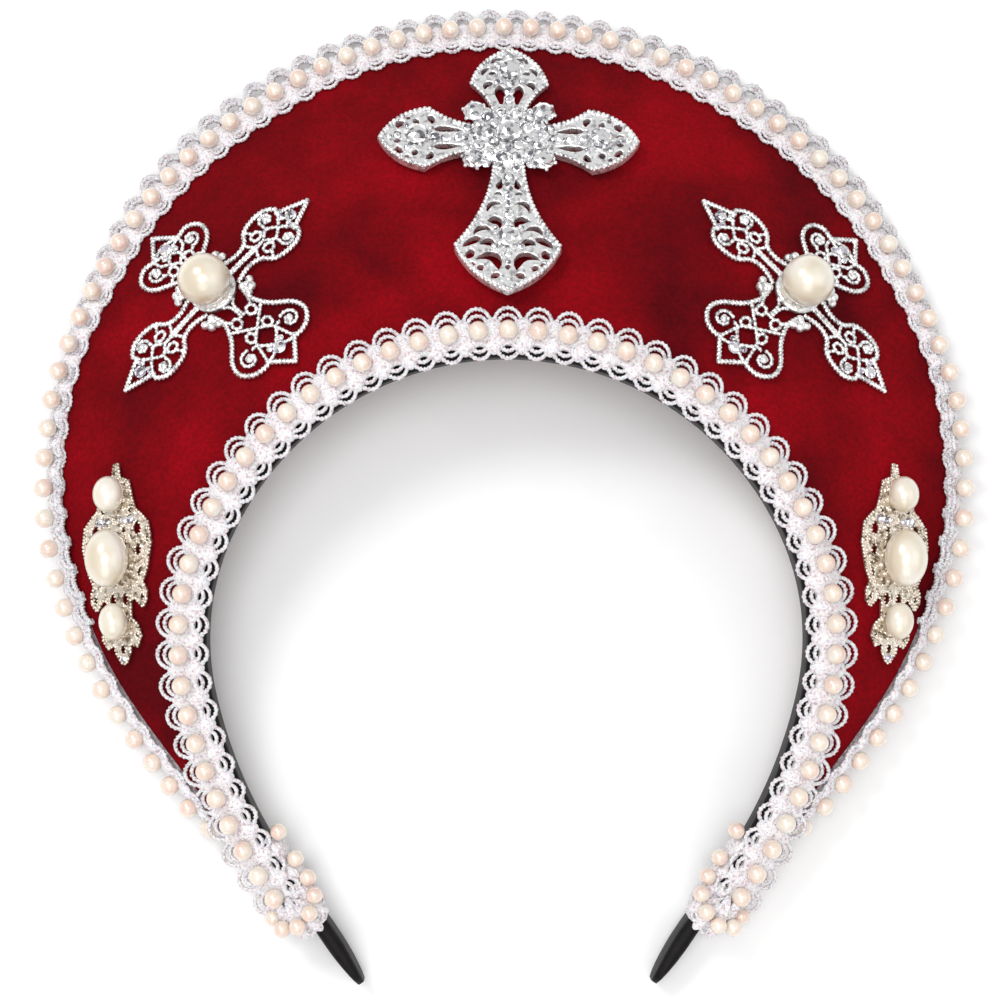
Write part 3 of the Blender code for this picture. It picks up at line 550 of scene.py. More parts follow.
sections = []
for distance in spread(-BAND.length, BAND.length, 261):
    left = BAND.length - abs(distance)
    into_tip = max(0.0, 1.0 - left / BAND_TIP_LENGTH)
    share = 1.0 - (1.0 - BAND_TIP_SHARE) * (1.0 - math.sqrt(max(0.0, 1.0 - into_tip ** 2)))
    fold = FOLD_RISE * smoothly((RIBBON_FOLD - left) / (10.0 * MM))
    narrow = 1.0 - 0.6 * max(0.0, 1.0 - left / TIP_TAPER) ** 1.6
    half_across = (0.5 * BAND_THICKNESS + fold) * narrow
    half_along = 0.5 * BAND_WIDTH * share
    section = []
    for across, along in rounded_box(half_across, half_along, BAND_ROUNDING * 2.0 * half_across, 4):
        point = BAND.at(distance, 0.5 * BAND_THICKNESS + across)
        section.append((point.x, point.y, BAND_FRONT - 0.5 * BAND_WIDTH + along))
    sections.append(section)
add_piece("satin_hairband", loft("satin_hairband", sections), satin, "black_satin", "hairband")

# %% [markdown]
# ## Velvet crescent
# Velvet is glued over a stiff board, so it follows the board with rounded edges and only
# slight unevenness. It is lofted from tip to tip along the band, and each section is a
# rounded strip from the band out to the rim. A soft noise of a fifth of a millimetre keeps
# it from looking like a moulded sheet.

# %% Velvet crescent
PLATE_END = 162.0 * MM
PLATE_ROUNDING = 0.9 * MM
VELVET_UNEVEN = 0.22 * MM
VELVET_LUMP = 14.0 * MM              # how wide the unevenness is
ROUNDING_STEPS = 5


def rim_reach(distance):
    """How far the crescent reaches outwards from the band's inner face at a distance along it."""
    low, high = BAND_THICKNESS, RIM_TOP
    for _ in range(30):
        middle = 0.5 * (low + high)
        point = BAND.at(distance, middle)
        if RIM.gap(point.x, point.y) < 0.0:
            low = middle
        else:
            high = middle
    return low


def crescent_section(distance):
    """Once round the covered board, from its front edge at the rim over the front to its back."""
    inner, outer = BAND_THICKNESS + AIR, rim_reach(distance)
    radius = min(PLATE_ROUNDING, 0.3 * (outer - inner))
    walk = []
    for i in range(ROUNDING_STEPS):
        angle = 0.5 * math.pi * i / (ROUNDING_STEPS - 1)
        walk.append((outer - radius + radius * math.cos(angle), radius - radius * math.sin(angle)))
    walk += [(offset, 0.0) for offset in spread(outer - radius, inner + radius, 30)[1:-1]]
    for i in range(ROUNDING_STEPS):
        angle = 0.5 * math.pi * i / (ROUNDING_STEPS - 1)
        walk.append((inner + radius - radius * math.sin(angle), radius - radius * math.cos(angle)))
    walk += [(offset, PLATE_THICKNESS) for offset in spread(inner + radius, outer - radius, 14)]
    section = []
    for offset, depth in walk:
        top = BAND.at(distance, offset)
        normal = face_normal(top.x, top.y)
        lean = math.sqrt(1.0 - normal.z ** 2) * (offset - inner) / (outer - inner)
        point = BAND.at(distance, offset - depth * lean)
        lump = VELVET_UNEVEN * noise.noise(Vector((point.x, point.y, 0.0)) / VELVET_LUMP)
        lift = lump if depth == 0.0 else 0.0
        section.append(face(point.x, point.y) - Vector((0.0, 0.0, depth / normal.z - lift)))
    return section


sections = [crescent_section(distance) for distance in spread(-PLATE_END, PLATE_END, 221)]
add_piece("velvet_crescent", loft("velvet_crescent", sections), velvet, "red_velvet", "crown_plate")

# %% [markdown]
# ## How the lace lies
# Each trim is a flat braid with a row of pearls down its middle. One runs along the seam
# beside the band. The other is folded round the rim, and there it rolls from the front face
# over the edge as it comes down the sides. For each trim one function turns a place on the
# flat braid, along and across it and above it, into a point of the crown.

# %% Places on the two trims
INNER_MIDDLE = 4.7 * MM
OUTER_ROLL = (
    # distance from the top along the rim, how far the pearls lie in front of the rim's middle, in mm
    (20.0, 6.2), (60.0, 6.9), (110.0, 5.5), (150.0, 2.8), (200.0, 0.6), (240.0, 0.4), (272.0, -2.6),
)
BRAID_THICKNESS = 0.7 * MM
RIM_QUARTER = 0.5 * math.pi * (0.5 * PLATE_THICKNESS + AIR + 0.5 * BRAID_THICKNESS)


def on_inner_trim(along, across, lift):
    return over(BAND.at(along, INNER_MIDDLE + across), lift)


def outer_roll(distance):
    """Where the pearls sit across the rim: in front of it at the top, over its edge lower down."""
    here = abs(distance) / MM
    for (start, before), (end, after) in zip(OUTER_ROLL, OUTER_ROLL[1:]):
        if here < end:
            return (before + (after - before) * smoothly((here - start) / (end - start))) * MM
    return OUTER_ROLL[-1][1] * MM


@functools.lru_cache(maxsize=None)
def rim_frame(distance):
    """On the rim: the front edge's point, the way out in the velvet's face, and its normal."""
    step = 0.5 * MM
    point, before, after = RIM.at(distance), RIM.at(distance - step), RIM.at(distance + step)
    normal = face_normal(point.x, point.y)
    along = (face(after.x, after.y) - face(before.x, before.y)).normalized()
    return face(point.x, point.y), normal.cross(along).normalized(), normal


def on_outer_trim(along, across, lift):
    """Across is positive on the front side of the pearls and negative where it turns behind."""
    edge, out, normal = rim_frame(along)
    width = outer_roll(along) + across
    radius = 0.5 * PLATE_THICKNESS + lift
    bend = max(-1.0, min(1.0, width / RIM_QUARTER)) * 0.5 * math.pi
    flat = max(0.0, abs(width) - RIM_QUARTER)
    core = edge - 0.5 * PLATE_THICKNESS * normal
    return core + radius * (math.cos(bend) * out + math.sin(bend) * normal) - flat * out


print("top of the outer trim at", [round(v / MM, 1) for v in on_outer_trim(0.0, 0.0, 0.0)])

# %% [markdown]
# Near its two ends the outer braid turns over the front of the band and runs up its inner
# face. A short table of pearl places carries it round, and the braid lies between the
# pearls and the band.

# %% Places on the tails
TAIL_PEARLS = (
    # distance along the band, offset from its inner face, height, in mm
    (157.5, 8.3, -5.0), (161.8, 9.2, -2.0), (164.6, 8.4, 1.4), (165.8, 5.0, 3.6), (164.8, 1.2, 3.9),
    (162.2, -1.8, 2.9), (158.4, -2.5, 0.9), (153.5, -2.5, 0.2), (146.4, -2.5, 0.1),
)
PEARL_LIFT = 3.4 * MM                # a pearl's centre above what the braid lies on


def beside_band(distance, offset, height):
    """A point of the right half, off the band's inner face by offset. In mm."""
    point = BAND.at(distance * MM, offset * MM)
    return Vector((point.x, point.y, height * MM))


def after_row(rows, index, t):
    """Numbers the share t of the way from one row to the next, on a smooth curve through all."""
    a, b, c, d = [rows[max(0, min(len(rows) - 1, index + k))] for k in (-1, 0, 1, 2)]
    return tuple(
        0.5 * ((2 * q) + (r - p) * t + (2 * p - 5 * q + 4 * r - s) * t * t
               + (3 * q - p - 3 * r + s) * t ** 3)
        for p, q, r, s in zip(a, b, c, d)
    )


def tail_row(place):
    index = max(0, min(len(TAIL_PEARLS) - 2, int(place)))
    return after_row(TAIL_PEARLS, index, place - index)


def on_tail(place, across, lift):
    """Place counts pearls along the tail. Lift 0 is where the braid touches."""
    distance, offset, height = tail_row(place)
    pearl = beside_band(distance, offset, height)
    core = beside_band(distance, 1.3, max(-6.0, min(-1.5, height)))
    outward = (pearl - core).normalized()
    ahead = beside_band(*tail_row(place + 0.05)) - beside_band(*tail_row(place - 0.05))
    sideways = outward.cross(ahead.normalized()).normalized()
    return pearl + (lift - PEARL_LIFT) * outward + across * sideways


for row in (TAIL_PEARLS[0], TAIL_PEARLS[-1]):
    print("a tail's first or last pearl, in mm:", [round(v / MM) for v in beside_band(*row)])

# %% [markdown]
# ## Two small machines in Geometry Nodes
# Nearly all the fine work on this crown is one of two things: a twisted thread or wire that
# follows a path, or a small shape repeated at many places. So there are two node trees. The
# first sweeps an oval along each path and turns it as it goes, which is what two plies
# twisted together look like. The second sets a shape on each point, turned by directions
# stored on the point. Both end in real geometry with its material.

# %% A tree for twisted thread
def new_tree(name, *inputs):
    """An empty tree with a mesh going in, named inputs, and a mesh coming out."""
    tree = bpy.data.node_groups.new(name, "GeometryNodeTree")
    tree.interface.new_socket("Guide", in_out="INPUT", socket_type="NodeSocketGeometry")
    for label, kind, value in inputs:
        socket = tree.interface.new_socket(label, in_out="INPUT", socket_type="NodeSocket" + kind)
        if value is not None:
            socket.default_value = value
    tree.interface.new_socket("Made", in_out="OUTPUT", socket_type="NodeSocketGeometry")
    return tree, add_node(tree, "NodeGroupInput").outputs


def end_tree(tree, made, finish, smooth=True):
    """Real geometry with its material, handed out."""
    made = add_node(tree, "GeometryNodeRealizeInstances", Geometry=made).outputs[0]
    made = add_node(tree, "GeometryNodeSetShadeSmooth", Geometry=made, Shade_Smooth=smooth).outputs[0]
    made = add_node(tree, "GeometryNodeSetMaterial", Geometry=made, Material=finish).outputs[0]
    add_node(tree, "NodeGroupOutput", Made=made)


thread_tree, given = new_tree(
    "twisted_thread",
    ("Thickness", "Float", 0.8 * MM), ("Flatness", "Float", 0.6), ("Twist Length", "Float", 2.0 * MM),
    ("Step", "Float", 0.5 * MM), ("Sides", "Int", 6), ("Finish", "Material", None),
)
paths = add_node(thread_tree, "GeometryNodeMeshToCurve", Mesh=given["Guide"]).outputs[0]
paths = add_node(
    thread_tree, "GeometryNodeResampleCurve", {"mode": "LENGTH"}, Curve=paths, Length=given["Step"],
).outputs[0]
length = add_node(thread_tree, "GeometryNodeSplineParameter").outputs["Length"]
turns = calculate(thread_tree, "DIVIDE", length, given["Twist Length"])
angle = calculate(thread_tree, "MULTIPLY", turns, 2.0 * math.pi)
paths = add_node(thread_tree, "GeometryNodeSetCurveTilt", Curve=paths, Tilt=angle).outputs[0]
ring = add_node(
    thread_tree, "GeometryNodeCurvePrimitiveCircle", {"mode": "RADIUS"},
    Resolution=given["Sides"], Radius=calculate(thread_tree, "MULTIPLY", given["Thickness"], 0.5),
).outputs[0]
squeeze = add_node(thread_tree, "ShaderNodeCombineXYZ", X=1.0, Y=given["Flatness"], Z=1.0).outputs[0]
oval = add_node(thread_tree, "GeometryNodeTransform", Geometry=ring, Scale=squeeze).outputs[0]
swept = add_node(
    thread_tree, "GeometryNodeCurveToMesh", Curve=paths, Profile_Curve=oval, Fill_Caps=True,
).outputs[0]
end_tree(thread_tree, swept, given["Finish"])
print("thread tree nodes:", len(thread_tree.nodes))

# %% A tree for repeated shapes
setting_tree, given = new_tree(
    "set_on_points",
    ("Shape", "Object", None), ("Scale", "Float", 1.0), ("Turn", "Float", 0.0), ("Seed", "Int", 5),
    ("Smooth", "Bool", True), ("Finish", "Material", None),
)
shape = add_node(setting_tree, "GeometryNodeObjectInfo", Object=given["Shape"]).outputs["Geometry"]


def stored(kind, label):
    """What the guide's points have stored under a label."""
    node = add_node(setting_tree, "GeometryNodeInputNamedAttribute", {"data_type": kind})
    node.inputs["Name"].default_value = label
    return node.outputs["Attribute"]


facing = add_node(
    setting_tree, "FunctionNodeAxesToRotation", {"primary_axis": "Z", "secondary_axis": "X"},
    Primary_Axis=stored("FLOAT_VECTOR", "up"), Secondary_Axis=stored("FLOAT_VECTOR", "along"),
).outputs[0]
chance = add_node(setting_tree, "FunctionNodeRandomValue", {"data_type": "FLOAT"}, Seed=given["Seed"])
chance = next(s for s in chance.outputs if s.enabled)
spin = calculate(setting_tree, "MULTIPLY", chance, given["Turn"])
twist = add_node(setting_tree, "FunctionNodeAxisAngleToRotation", Angle=spin).outputs[0]
facing = add_node(
    setting_tree, "FunctionNodeRotateRotation", {"rotation_space": "LOCAL"},
    Rotation=facing, Rotate_By=twist,
).outputs[0]
placed = add_node(
    setting_tree, "GeometryNodeInstanceOnPoints", Points=given["Guide"], Instance=shape,
    Rotation=facing, Scale=calculate(setting_tree, "MULTIPLY", stored("FLOAT", "size"), given["Scale"]),
).outputs[0]
end_tree(setting_tree, placed, given["Finish"], given["Smooth"])
print("setting tree nodes:", len(setting_tree.nodes))

# %% Running a tree
def run_tree(guide, tree, **values):
    """The plain mesh that a tree makes from a guide mesh."""
    piece = bpy.data.objects.new(guide.name, guide)
    bpy.context.scene.collection.objects.link(piece)
    maker = piece.modifiers.new("maker", "NODES")
    maker.node_group = tree
    for item in tree.interface.items_tree:
        key = item.name.replace(" ", "_")
        if item.in_out == "INPUT" and key in values:
            maker[item.identifier] = values[key]
    graph = bpy.context.evaluated_depsgraph_get()
    made = bpy.data.meshes.new_from_object(piece.evaluated_get(graph), depsgraph=graph)
    bpy.data.objects.remove(piece)
    for label in ("up", "along", "size"):
        if label in made.attributes:
            made.attributes.remove(made.attributes[label])
    return made


def thread_mesh(name, lines, finish, thickness, twist, flatness=0.6, step=0.5):
    """Twisted thread along each line of points in the wearer's frame. Sizes in mm. A line whose
    first point is repeated at its end is closed."""
    points, edges = [], []
    for line in lines:
        closed = (line[0] - line[-1]).length < 1.0e-6
        line = line[:-1] if closed else line
        start = len(points)
        points += [LAY @ p for p in line]
        edges += [(start + i, start + i + 1) for i in range(len(line) - 1)]
        if closed:
            edges.append((start + len(line) - 1, start))
    guide = bpy.data.meshes.new(name)
    guide.from_pydata(points, edges, [])
    return run_tree(
        guide, thread_tree, Thickness=thickness * MM, Flatness=flatness, Twist_Length=twist * MM,
        Step=step * MM, Finish=finish,
    )


def set_mesh(name, shape, places, finish, smooth=True, turn=0.0):
    """A shape set at each place: a point, a direction along, the way up, and a size."""
    turned = LAY.to_3x3()
    guide = bpy.data.meshes.new(name)
    guide.from_pydata([LAY @ p for p, _, _, _ in places], [], [])
    for label, column in (("along", 1), ("up", 2)):
        layer = guide.attributes.new(label, "FLOAT_VECTOR", "POINT")
        layer.data.foreach_set("vector", [v for row in places for v in (turned @ row[column])])
    layer = guide.attributes.new("size", "FLOAT", "POINT")
    layer.data.foreach_set("value", [row[3] for row in places])
    tool = bpy.data.objects.new("shape", shape)
    bpy.context.scene.collection.objects.link(tool)
    made = run_tree(guide, setting_tree, Shape=tool, Turn=turn, Smooth=smooth, Finish=finish)
    bpy.data.objects.remove(tool)
    return made


# %% Shapes that are repeated
def ball_mesh(sides, rings):
    """A ball of radius 1."""
    body = bmesh.new()
    bmesh.ops.create_uvsphere(body, u_segments=sides, v_segments=rings, radius=1.0)
    return as_mesh("ball", body)


STONE_PROFILE = (
    # radius, height, and how far the corners are turned, as a share of their spacing
    (0.8, 0.0, 0.0), (1.0, 0.3, 0.0), (1.0, 0.4, 0.5), (0.78, 0.72, 0.0), (0.45, 0.88, 0.5),
)


def stone_mesh(sides):
    """A cut stone of radius 1: flat back, girdle, a ring of crown facets and a table."""
    body = bmesh.new()
    rings = []
    for radius, height, shift in STONE_PROFILE:
        rings.append([
            body.verts.new((radius * math.cos(t), radius * math.sin(t), height))
            for t in full_turn(sides, shift)
        ])
    for ring, following in zip(rings, rings[1:]):
        for i in range(sides):
            after = (i + 1) % sides
            body.faces.new((ring[i], ring[after], following[i]))
            body.faces.new((ring[after], following[after], following[i]))
    body.faces.new(list(reversed(rings[0])))
    body.faces.new(rings[-1])
    bmesh.ops.recalc_face_normals(body, faces=body.faces)
    return as_mesh("stone", body)


print("cut stone's rings:", len(STONE_PROFILE))


# %% [markdown]
# ## Lace
# The real braid is crocheted: a lumpy core, wide between the pearls and narrow under them,
# and beside each pearl two loops of thread, one inside the other, that leave half-moon
# gaps. The core is a loft whose height is worked out stitch by stitch. The loops are paths
# for the thread tree, bent over whatever the braid lies on. So are the picots, the small
# arcs that stand out past the rim at the top, while the wraps, a few rows of stitches that
# hold the tails on the hairband, are lofts again.

# %% Braid core
STITCH_LONG = 1.55 * MM
STITCH_HIGH = 0.42 * MM
CORE_ROWS = 4                        # rows of stitches across the braid
CORE_STEP = 0.4 * MM
CORE_BETWEEN = (4.15, 1.75)          # half width and rise between two pearls, in mm
CORE_UNDER = (2.05, 0.95)            # how much less each of them is under a pearl
CORE_ACROSS = 12                     # strips from one edge to the other


def core_mesh(name, where, start, stop, pitch, first, front=1.0, back=1.0):
    """The crocheted core. Where gives points, pitch is the pearls' spacing and first one of
    them. Front and back narrow the core, as numbers or as functions of the place along it."""
    sections = []
    stitch_long = pitch / round(pitch / STITCH_LONG)
    for along in spread(start, stop, int((stop - start) / CORE_STEP)):
        beside = 0.5 + 0.5 * math.cos(2.0 * math.pi * (along - first) / pitch)
        half_width, crown = [(a - b * beside) * MM for a, b in zip(CORE_BETWEEN, CORE_UNDER)]
        ends = smoothly(min(along - start, stop - along) / (0.25 * pitch))
        top, under = [], []
        for i in range(CORE_ACROSS + 1):
            share = -1.0 + 2.0 * i / CORE_ACROSS
            limit = front if share > 0.0 else back
            limit = limit(along) if callable(limit) else limit
            across = half_width * share * limit
            row = share * CORE_ROWS
            stitch = abs(math.cos(math.pi * (along / stitch_long + 0.5 * int(row + 20.0))))
            stitch *= abs(math.cos(math.pi * (row % 1.0 - 0.5)))
            arch = math.sqrt(max(0.0, 1.0 - share * share))
            rough = noise.noise(Vector((along, across, 0.0)) / (0.9 * MM))
            height = crown * (0.25 + 0.75 * arch)
            height += (stitch + 0.4 * rough) * STITCH_HIGH * (0.3 + 0.7 * arch)
            top.append(where(along, across, AIR + ends * height))
            under.append(where(along, across * 0.98, 0.8 * AIR))
        sections.append(top + under[::-1])
    return loft(name, sections)


INNER_END = 161.0 * MM
INNER_PEARLS = 53
INNER_LAST = 158.0 * MM              # the last pearl's distance from the top
INNER_PITCH = 2.0 * INNER_LAST / (INNER_PEARLS - 1)
inner_core = core_mesh("inner_lace", on_inner_trim, -INNER_END, INNER_END, INNER_PITCH, 0.0)
add_piece("inner_lace", inner_core, lace, "white_lace", "inner_lace_braid")

# %% Outer braid core
OUTER_FRONT_SPAN = (60.0 * MM, 150.0 * MM)
OUTER_END = 267.0 * MM
OUTER_TAPER = 60.0 * MM
OUTER_PEARLS = 83
OUTER_LAST = 265.4 * MM
OUTER_PITCH = 2.0 * OUTER_LAST / (OUTER_PEARLS - 1)


def front_share(along):
    """The braid's front side is pulled over the rim on the sides, so less of it shows."""
    start, stop = OUTER_FRONT_SPAN
    return 1.0 - 0.42 * max(0.0, min(1.0, (abs(along) - start) / (stop - start)))


def back_share(along):
    """Behind the pearls it narrows towards its ends."""
    return min(1.0, 0.38 + 0.62 * (OUTER_END - abs(along)) / OUTER_TAPER)


outer_core = core_mesh(
    "outer_lace", on_outer_trim, -OUTER_END, OUTER_END, OUTER_PITCH, 0.0, front_share, back_share,
)
add_piece("outer_lace", outer_core, lace, "white_lace", "outer_lace_braid")

# %% Tail cores
def tail_where(along, across, lift):
    """Like the other trims, with distances in metres instead of a count of pearls."""
    return on_tail(along / OUTER_PITCH, across, lift)


def tail_front_share(along):
    """Wide at the turn over the band, narrow on its inner face, where the band stays in sight."""
    place = along / OUTER_PITCH
    return 1.0 + 0.75 * max(0.0, 1.0 - abs(place - 2.8) / 2.0) - 0.6 * smoothly(place - 4.4)


tail_core = core_mesh(
    "right_tail_lace", tail_where, 0.1 * OUTER_PITCH, 7.9 * OUTER_PITCH, OUTER_PITCH, 0.0,
    1.05, tail_front_share,
)
add_pair("tail_lace", tail_core, lace, "white_lace", "braid_tail")

# %% Wraps
# Where the outer braid turns in, a few rows of stitches go once round the band.
WRAP_SPAN = (158.0 * MM, 168.5 * MM)
WRAP_THICKNESS = 1.1 * MM
WRAP_STITCH = 0.5 * MM
sections = []
for distance in spread(*WRAP_SPAN, 36):
    near_end = min(distance - WRAP_SPAN[0], WRAP_SPAN[1] - distance)
    swell = WRAP_THICKNESS * (0.45 + 0.55 * smoothly(near_end / (2.0 * MM)))
    section = []
    half_across, half_along = 0.5 * BAND_THICKNESS + swell, 0.5 * BAND_WIDTH + swell
    for across, along in rounded_box(half_across, half_along, 1.6 * MM, 6):
        place = Vector((distance, 3.0 * across, along))
        bump = WRAP_STITCH * noise.noise(place / (1.1 * MM))
        reach = math.hypot(across, along)
        point = BAND.at(distance, 0.5 * BAND_THICKNESS + across * (1.0 + bump / reach))
        height = BAND_FRONT - 0.5 * BAND_WIDTH + along * (1.0 + bump / reach)
        section.append((point.x, point.y, height))
    sections.append(section)
add_pair("lace_wrap", loft("right_lace_wrap", sections), lace, "white_lace")

# %% Loops beside the pearls
LOOP_ARCS = (
    # half width along the braid, where its feet stand, how high it rises, in mm
    (2.7, 1.3, 3.65),
    (1.95, 1.1, 2.2),
)
VELVET_SIDE_MORE = 1.2 * MM          # the inner trim's loops stand this much further out on velvet
LOOP_LIFT = 0.75 * MM


def loops(where, along, side, share=1.0, further=0.0):
    """The two arcs on one side of a pearl, as lines of points."""
    lines = []
    for half_width, feet, rise in LOOP_ARCS:
        line = []
        for i in range(15):
            angle = math.pi * i / 14
            across = (feet + rise * math.sin(angle)) * MM * share + further
            line.append(where(along + half_width * MM * math.cos(angle), side * across, LOOP_LIFT))
        lines.append(line)
    return lines


LOOP_THREAD = 1.2                    # thickness in mm
LOOP_TWIST = 1.9
inner_places = spread(-INNER_LAST, INNER_LAST, INNER_PEARLS)
lines = []
for along in inner_places:
    for side in (-1.0, 1.0):
        lines += loops(on_inner_trim, along, side, 1.0, VELVET_SIDE_MORE if side > 0.0 else 0.0)
inner_loops = thread_mesh("inner_lace_loops", lines, lace, LOOP_THREAD, LOOP_TWIST)
add_piece("inner_lace_loops", inner_loops, lace, "white_lace")

outer_places = spread(-OUTER_LAST, OUTER_LAST, OUTER_PEARLS)
lines = []
for along in outer_places:
    lines += loops(on_outer_trim, along, 1.0, front_share(along))
    lines += loops(on_outer_trim, along, -1.0, back_share(along))
outer_loops = thread_mesh("outer_lace_loops", lines, lace, LOOP_THREAD, LOOP_TWIST)
add_piece("outer_lace_loops", outer_loops, lace, "white_lace")

# %% Picots past the rim
# At the top the braid's far edge isn't folded down: its picots stand out past the rim, each
# between two pearls. They shorten down the sides, where the braid turns over the edge.
PICOT_REACH = (4.6 * MM, 0.8 * MM)   # past the rim at the top and at the sides
PICOT_SPAN = (85.0 * MM, 150.0 * MM)
PICOT_LAST = 200.0 * MM
PICOT_HALF_WIDTH = 2.9 * MM
PICOT_LIFT = 1.5 * MM
PICOT_FEET = 2.2 * MM                # how far inside the rim it starts
PICOT_ROWS = (0.0, -1.5 * MM)        # the second arc lies this much further in
PICOT_THREAD = (1.7, 1.7)            # thickness and twist in mm


def picot(along, reach):
    """An arc in the plane of the velvet, from the face out past the rim and back."""
    line = []
    for i in range(13):
        angle = math.pi * i / 12
        edge, out, normal = rim_frame(round(along + PICOT_HALF_WIDTH * math.cos(angle), 7))
        rise = (reach + PICOT_FEET) * math.sin(angle) - PICOT_FEET
        line.append(edge + rise * out + PICOT_LIFT * normal)
    return line


lines = []
for along in outer_places[:-1]:
    middle = along + 0.5 * OUTER_PITCH
    share = smoothly((abs(middle) - PICOT_SPAN[0]) / (PICOT_SPAN[1] - PICOT_SPAN[0]))
    reach = PICOT_REACH[0] + (PICOT_REACH[1] - PICOT_REACH[0]) * share
    if abs(middle) < PICOT_LAST:
        lines += [picot(middle, reach + further) for further in PICOT_ROWS]
outer_picots = thread_mesh("outer_lace_picots", lines, lace, *PICOT_THREAD)
add_piece("outer_lace_picots", outer_picots, lace, "white_lace")

# %% Loops of the tails
# On the band's inner face, past the first five pearls, they lie on the far side only.
TAIL_LOOP_SHARE = 0.7
lines = []
for count in range(len(TAIL_PEARLS)):
    for side in (1.0, -1.0) if count < 5 else (1.0,):
        lines += loops(tail_where, count * OUTER_PITCH, side, TAIL_LOOP_SHARE)
tail_loops = thread_mesh("right_tail_loops", lines, lace, LOOP_THREAD, LOOP_TWIST)
add_pair("tail_loops", tail_loops, lace, "white_lace")

# %% [markdown]
# ## Small pearls
# Strung beads sit in the nests that the core leaves, evenly spaced and all the same size
# but for the tails', so they are one ball set on a row of points by the second tree.

# %% Pearl rows
PEARL_RADIUS = 2.15 * MM
TAIL_PEARL_SHARE = 0.87              # the last ones are pressed deeper into the braid
ball = ball_mesh(16, 10)


def pearl_places(where, places):
    """Pearls down the middle of a braid, as places for the setting tree."""
    rows, lift, step = [], PEARL_LIFT, 0.5 * MM
    for along in places:
        point = where(along, 0.0, lift)
        ahead = (where(along + step, 0.0, lift) - where(along - step, 0.0, lift)).normalized()
        up = (point - where(along, 0.0, 0.0)).normalized()
        rows.append((point, ahead, up, PEARL_RADIUS))
    return rows


inner_pearls = set_mesh("inner_pearls", ball, pearl_places(on_inner_trim, inner_places), bead)
add_piece("inner_pearls", inner_pearls, bead, "bead_pearl", "inner_pearl_string")

rows = pearl_places(on_outer_trim, outer_places)
tail_rows = pearl_places(tail_where, [k * OUTER_PITCH for k in range(len(TAIL_PEARLS))])
tail_rows = [(p, a, u, TAIL_PEARL_SHARE * s) for p, a, u, s in tail_rows]
flip = Matrix.Scale(-1.0, 4, (1.0, 0.0, 0.0))
rows += tail_rows + [(flip @ p, flip @ a, flip @ u, s) for p, a, u, s in tail_rows]
outer_pearls = set_mesh("outer_pearls", ball, rows, bead)
add_piece("outer_pearls", outer_pearls, bead, "bead_pearl", "outer_pearl_string")

# %% [markdown]
# ## Laying ornaments on the velvet
# The metal ornaments are drawn flat, in millimetres from their own middle. One function
# finds the plane of the velvet under an ornament's middle, and then either keeps the
# ornament stiff, as the cast cross is, or presses it to the velvet, as soft wire bends.

# %% Laying out
CROSS_PLACE = (0.7, 117.3, -1.0)     # X and Y in mm of its middle, and its lean in degrees
FILIGREE_PLACE = (66.0, 82.4, -47.0)
DROP_PLACE = (86.3, 22.0, -7.0)
BENT_AIR = 0.4 * MM


class Seat:
    """Where a flat ornament lies. Its at() turns flat millimetres and a height into a point."""

    def __init__(self, place, rigid=False):
        x, y, lean = place
        self.middle, self.normal = face(x * MM, y * MM), face_normal(x * MM, y * MM)
        flat_up = Vector((-math.sin(math.radians(lean)), math.cos(math.radians(lean)), 0.0))
        self.up = (flat_up - flat_up.dot(self.normal) * self.normal).normalized()
        self.right = self.up.cross(self.normal)
        self.rigid = rigid
        self.lift = AIR if rigid else BENT_AIR

    def on_velvet(self, a, b):
        point, normal = self.middle + a * MM * self.right + b * MM * self.up, self.normal
        if not self.rigid:
            for _ in range(5):
                point -= (point.z - face(point.x, point.y).z) * normal.z * normal
            normal = face_normal(point.x, point.y)
        return point, normal

    def at(self, a, b, height):
        point, normal = self.on_velvet(a, b)
        return point + (self.lift + height * MM) * normal

    def places(self, rows, height):
        """Rows of flat x, y and size in mm, as places for the setting tree."""
        made = []
        for x, y, size in rows:
            point, normal = self.on_velvet(x, y)
            made.append((point + (self.lift + height * MM) * normal, self.right, normal, size * MM))
        return made

    def line(self, points, height):
        return [self.at(x, y, height) for x, y in points]


cross_seat = Seat(CROSS_PLACE, rigid=True)
filigree_seat = Seat(FILIGREE_PLACE)
drop_seat = Seat(DROP_PLACE)
for seat in (cross_seat, filigree_seat, drop_seat):
    print("a seat leans back by", round(math.degrees(math.acos(seat.normal.z))), "degrees")

# %% Flat drawing
def turned(points, degrees):
    """Flat points turned about the origin."""
    c, s = math.cos(math.radians(degrees)), math.sin(math.radians(degrees))
    return [(c * x - s * y, s * x + c * y) for x, y in points]


def smooth_line(rows, steps):
    """A smooth curve through flat points."""
    made = [after_row(rows, i, k / steps) for i in range(len(rows) - 1) for k in range(steps)]
    return made + [tuple(rows[-1])]


def bowed(start, end, sag, t):
    """The point a share t of the way from one flat point to another, bowed to the left."""
    (x0, y0), (x1, y1) = start, end
    length = math.hypot(x1 - x0, y1 - y0)
    nx, ny = -(y1 - y0) / length, (x1 - x0) / length
    bow = 4.0 * sag * t * (1.0 - t)
    return x0 + (x1 - x0) * t + nx * bow, y0 + (y1 - y0) * t + ny * bow


